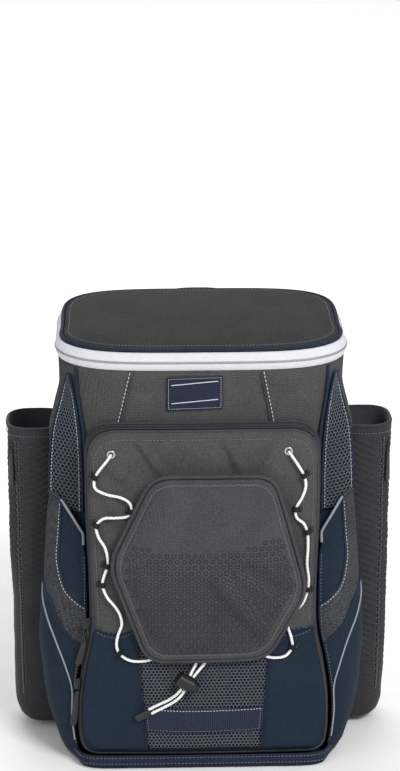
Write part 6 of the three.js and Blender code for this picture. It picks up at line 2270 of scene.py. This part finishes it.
    def adjuster(self, side: Side) -> None:
        """The webbing from the buckle to the lower corner, and the ladder buckle itself."""
        width, thick = self.webbing
        end = self.strap_end()
        anchor = Vector((self.anchor[0], self.bag.back + self.anchor[1], self.anchor[2]))
        start = end + Vector((1, -2.4, -self.buckle[2] - self.buckle_gap - 2.0))
        middle = start.lerp(anchor, 0.55) + Vector((0, 3, -4))
        line = curve_through([start, start + Vector((0, 0, -4)), middle, anchor], 40)
        rings = []
        for i, p in enumerate(line):
            along = (line[min(i + 1, 40)] - line[max(i - 1, 0)]).normalized()
            normal = along.cross(Vector((1, 0, 0.36))).normalized()
            wide = normal.cross(along).normalized()
            rings.append([
                Vector(((q := p + wide * (width / 2 * a) + normal * (thick / 2 * b)).x * side.value, q.y,
                        q.z))
                for a, b in ((-1, 0), (-0.96, 0.8), (-0.5, 1), (0.5, 1), (0.96, 0.8), (1, 0), (0.96, -0.8),
                             (0.5, -1), (-0.5, -1), (-0.96, -0.8))
            ])
        builder = MeshBuilder()
        builder.rings(rings)
        name = "strap_webbing_" + side.word
        placed(builder.make(name + "_tape", Finishes.BLACK_WEBBING.material()), Slot.BLACK_WEBBING, name)
        centre = Vector((side.value * end.x, end.y, end.z))
        centre += Vector((side.value * 0.6, -2.4, -self.buckle[2] / 2 - self.buckle_gap))
        half_w, _, half_h = (size / 2 for size in self.buckle)
        buckle = MeshBuilder()
        for x in (-half_w + 2.6, half_w - 2.6):
            rail = [centre + Vector((x, 0, z)) for z in steps(8, -half_h + 0.3, half_h - 0.3)]
            buckle.bar(rail, 2.6, 12, flat=1.25, swell=lambda s: 0.7 + 0.3 * math.sin(math.pi * s) ** 0.4)
        for z, y, size in ((half_h - 2.2, 0.0, 2.0), (3.4, 0.8, 2.2), (-4.2, -0.6, 2.3),
                           (-half_h + 2.2, 0.6, 2.0)):
            bar = [centre + Vector((x, y, z)) for x in steps(10, -half_w + 2.4, half_w - 2.4)]
            buckle.bar(bar, size, 12, flat=0.85)
        name = "strap_buckle_" + side.word
        placed(buckle.make(name + "_ladder", Finishes.ACETAL.material()), Slot.PLASTIC, name)

    def haul_handle(self) -> None:
        """The haul handle: folded webbing with a padded grip in its middle."""
        width, thick, half, rise = self.handle
        y = self.bag.back + width / 2 + 0.4
        foot = self.bag.rim_back - 12
        path = [(-half, y, foot), (-half, y + 4, foot + rise * 0.45),
                (-half * 0.6, y + 8, foot + rise * 0.9),
                (0, y + 9, foot + rise), (half * 0.6, y + 8, foot + rise * 0.9),
                (half, y + 4, foot + rise * 0.45),
                (half, y, foot)]
        line = curve_through(path, 90)
        rings = []
        for i, p in enumerate(line):
            s = i / 90
            along = (line[min(i + 1, 90)] - line[max(i - 1, 0)]).normalized()
            normal = along.cross(Vector((0, 1, 0.1))).normalized()
            wide = normal.cross(along).normalized()
            grip = smooth((0.33 - abs(s - 0.5)) / 0.03)
            half_t = thick / 2 * (0.5 + 0.5 * grip)
            rings.append([
                p + wide * (width / 2 * signed_power(math.cos(t), 0.5 + 0.3 * grip))
                + normal * (half_t * signed_power(math.sin(t), 0.6 + 0.3 * grip))
                for t in angles(20)
            ])
        builder = MeshBuilder()
        builder.rings(rings)
        placed(builder.make("handle_webbing", Finishes.BLACK_WEBBING.material()), Slot.BLACK_WEBBING,
               "haul_handle")

    def sewn_patch(self, builder: MeshBuilder, across: tuple[float, float], up: tuple[float, float],
                   reach: float) -> None:
        """Adds a patch sewn to the back's skin, with a row of stitches inside its edge.

        Args:
            builder: Gets the patch and its stitches.
            across: The patch's left and right edge.
            up: The patch's lower and upper edge.
            reach: How far its middle stands behind the bag's back line.
        """
        columns, rows = steps(16, *across), steps(10, *up)
        middle, half = sum(across) / 2, (across[1] - across[0]) / 2
        centre, tall = sum(up) / 2, (up[1] - up[0]) / 2

        def outside(x: float, z: float) -> Vector:
            dome = 1 - max(abs(x - middle) / half, abs(z - centre) / tall) ** 4
            skin = self.bag.face_y(x, z, 1)
            return Vector((x, skin + (self.bag.back + reach - skin) * (0.25 + 0.75 * dome), z))

        builder.plate([[outside(x, z) for x in columns] for z in rows],
                      [[Vector((x, self.bag.face_y(x, z, 1) - 3.5, z)) for x in columns] for z in rows])
        corners = [(across[0] + 2.5, up[0] + 2.5), (across[1] - 2.5, up[0] + 2.5),
                   (across[1] - 2.5, up[1] - 2.5), (across[0] + 2.5, up[1] - 2.5)]
        for (x0, z0), (x1, z1) in zip(corners, corners[1:] + corners[:1]):
            seam = [outside(x0 + (x1 - x0) * t, z0 + (z1 - z0) * t) + Vector((0, 0.3, 0))
                    for t in steps(12, 0.0, 1.0)]
            StitchLine(dash=2.6, pitch=4.0, radius=0.4).sew(builder, seam, finish=1)

    def anchors(self) -> None:
        """The straps' yoke, and the patches of the handle and of the webbing's ends."""
        builder = MeshBuilder()
        self.sewn_patch(builder, (-84.0, 84.0), (425.0, 443.0), 6.5)
        for side in Side:
            for middle, half, low, high, reach in ((52.0, 9.0, 452.0, 474.0, 2.0),
                                                   (126.0, 15.0, 34.0, 56.0, 7.0)):
                centre = side.value * middle
                self.sewn_patch(builder, (centre - half, centre + half), (low, high), reach)
        piece = builder.make("sewn_anchors", Finishes.CHARCOAL.material(), Finishes.DARK_THREAD.material())
        placed(piece, Slot.PADDED)

    def build(self) -> None:
        """Builds the back."""
        self.panel()
        self.anchors()
        for side in Side:
            self.shoulder_strap(side)
            self.adjuster(side)
        self.haul_handle()


def main() -> None:
    """Builds the camera and the free cords, then the room and the bag's sub-assemblies in order."""
    logging.basicConfig(level=logging.INFO, format="%(message)s")
    studio = Studio()
    studio.camera()
    bag = MainBag()
    pocket = FrontPocket(bag)
    lacing = Lacing(pocket)
    lacing.free_ends()
    studio.room()
    parts = [bag, Lid(bag), pocket, HelmetFlap(pocket), lacing]
    parts += [SidePocket(side, bag, pocket) for side in Side]
    parts += [BatSleeve(side, bag) for side in Side]
    parts.append(BackHarness(bag))
    for part in parts:
        part.build()
        LOG.info("built %s", type(part).__name__)


if __name__ == "__main__":
    main()
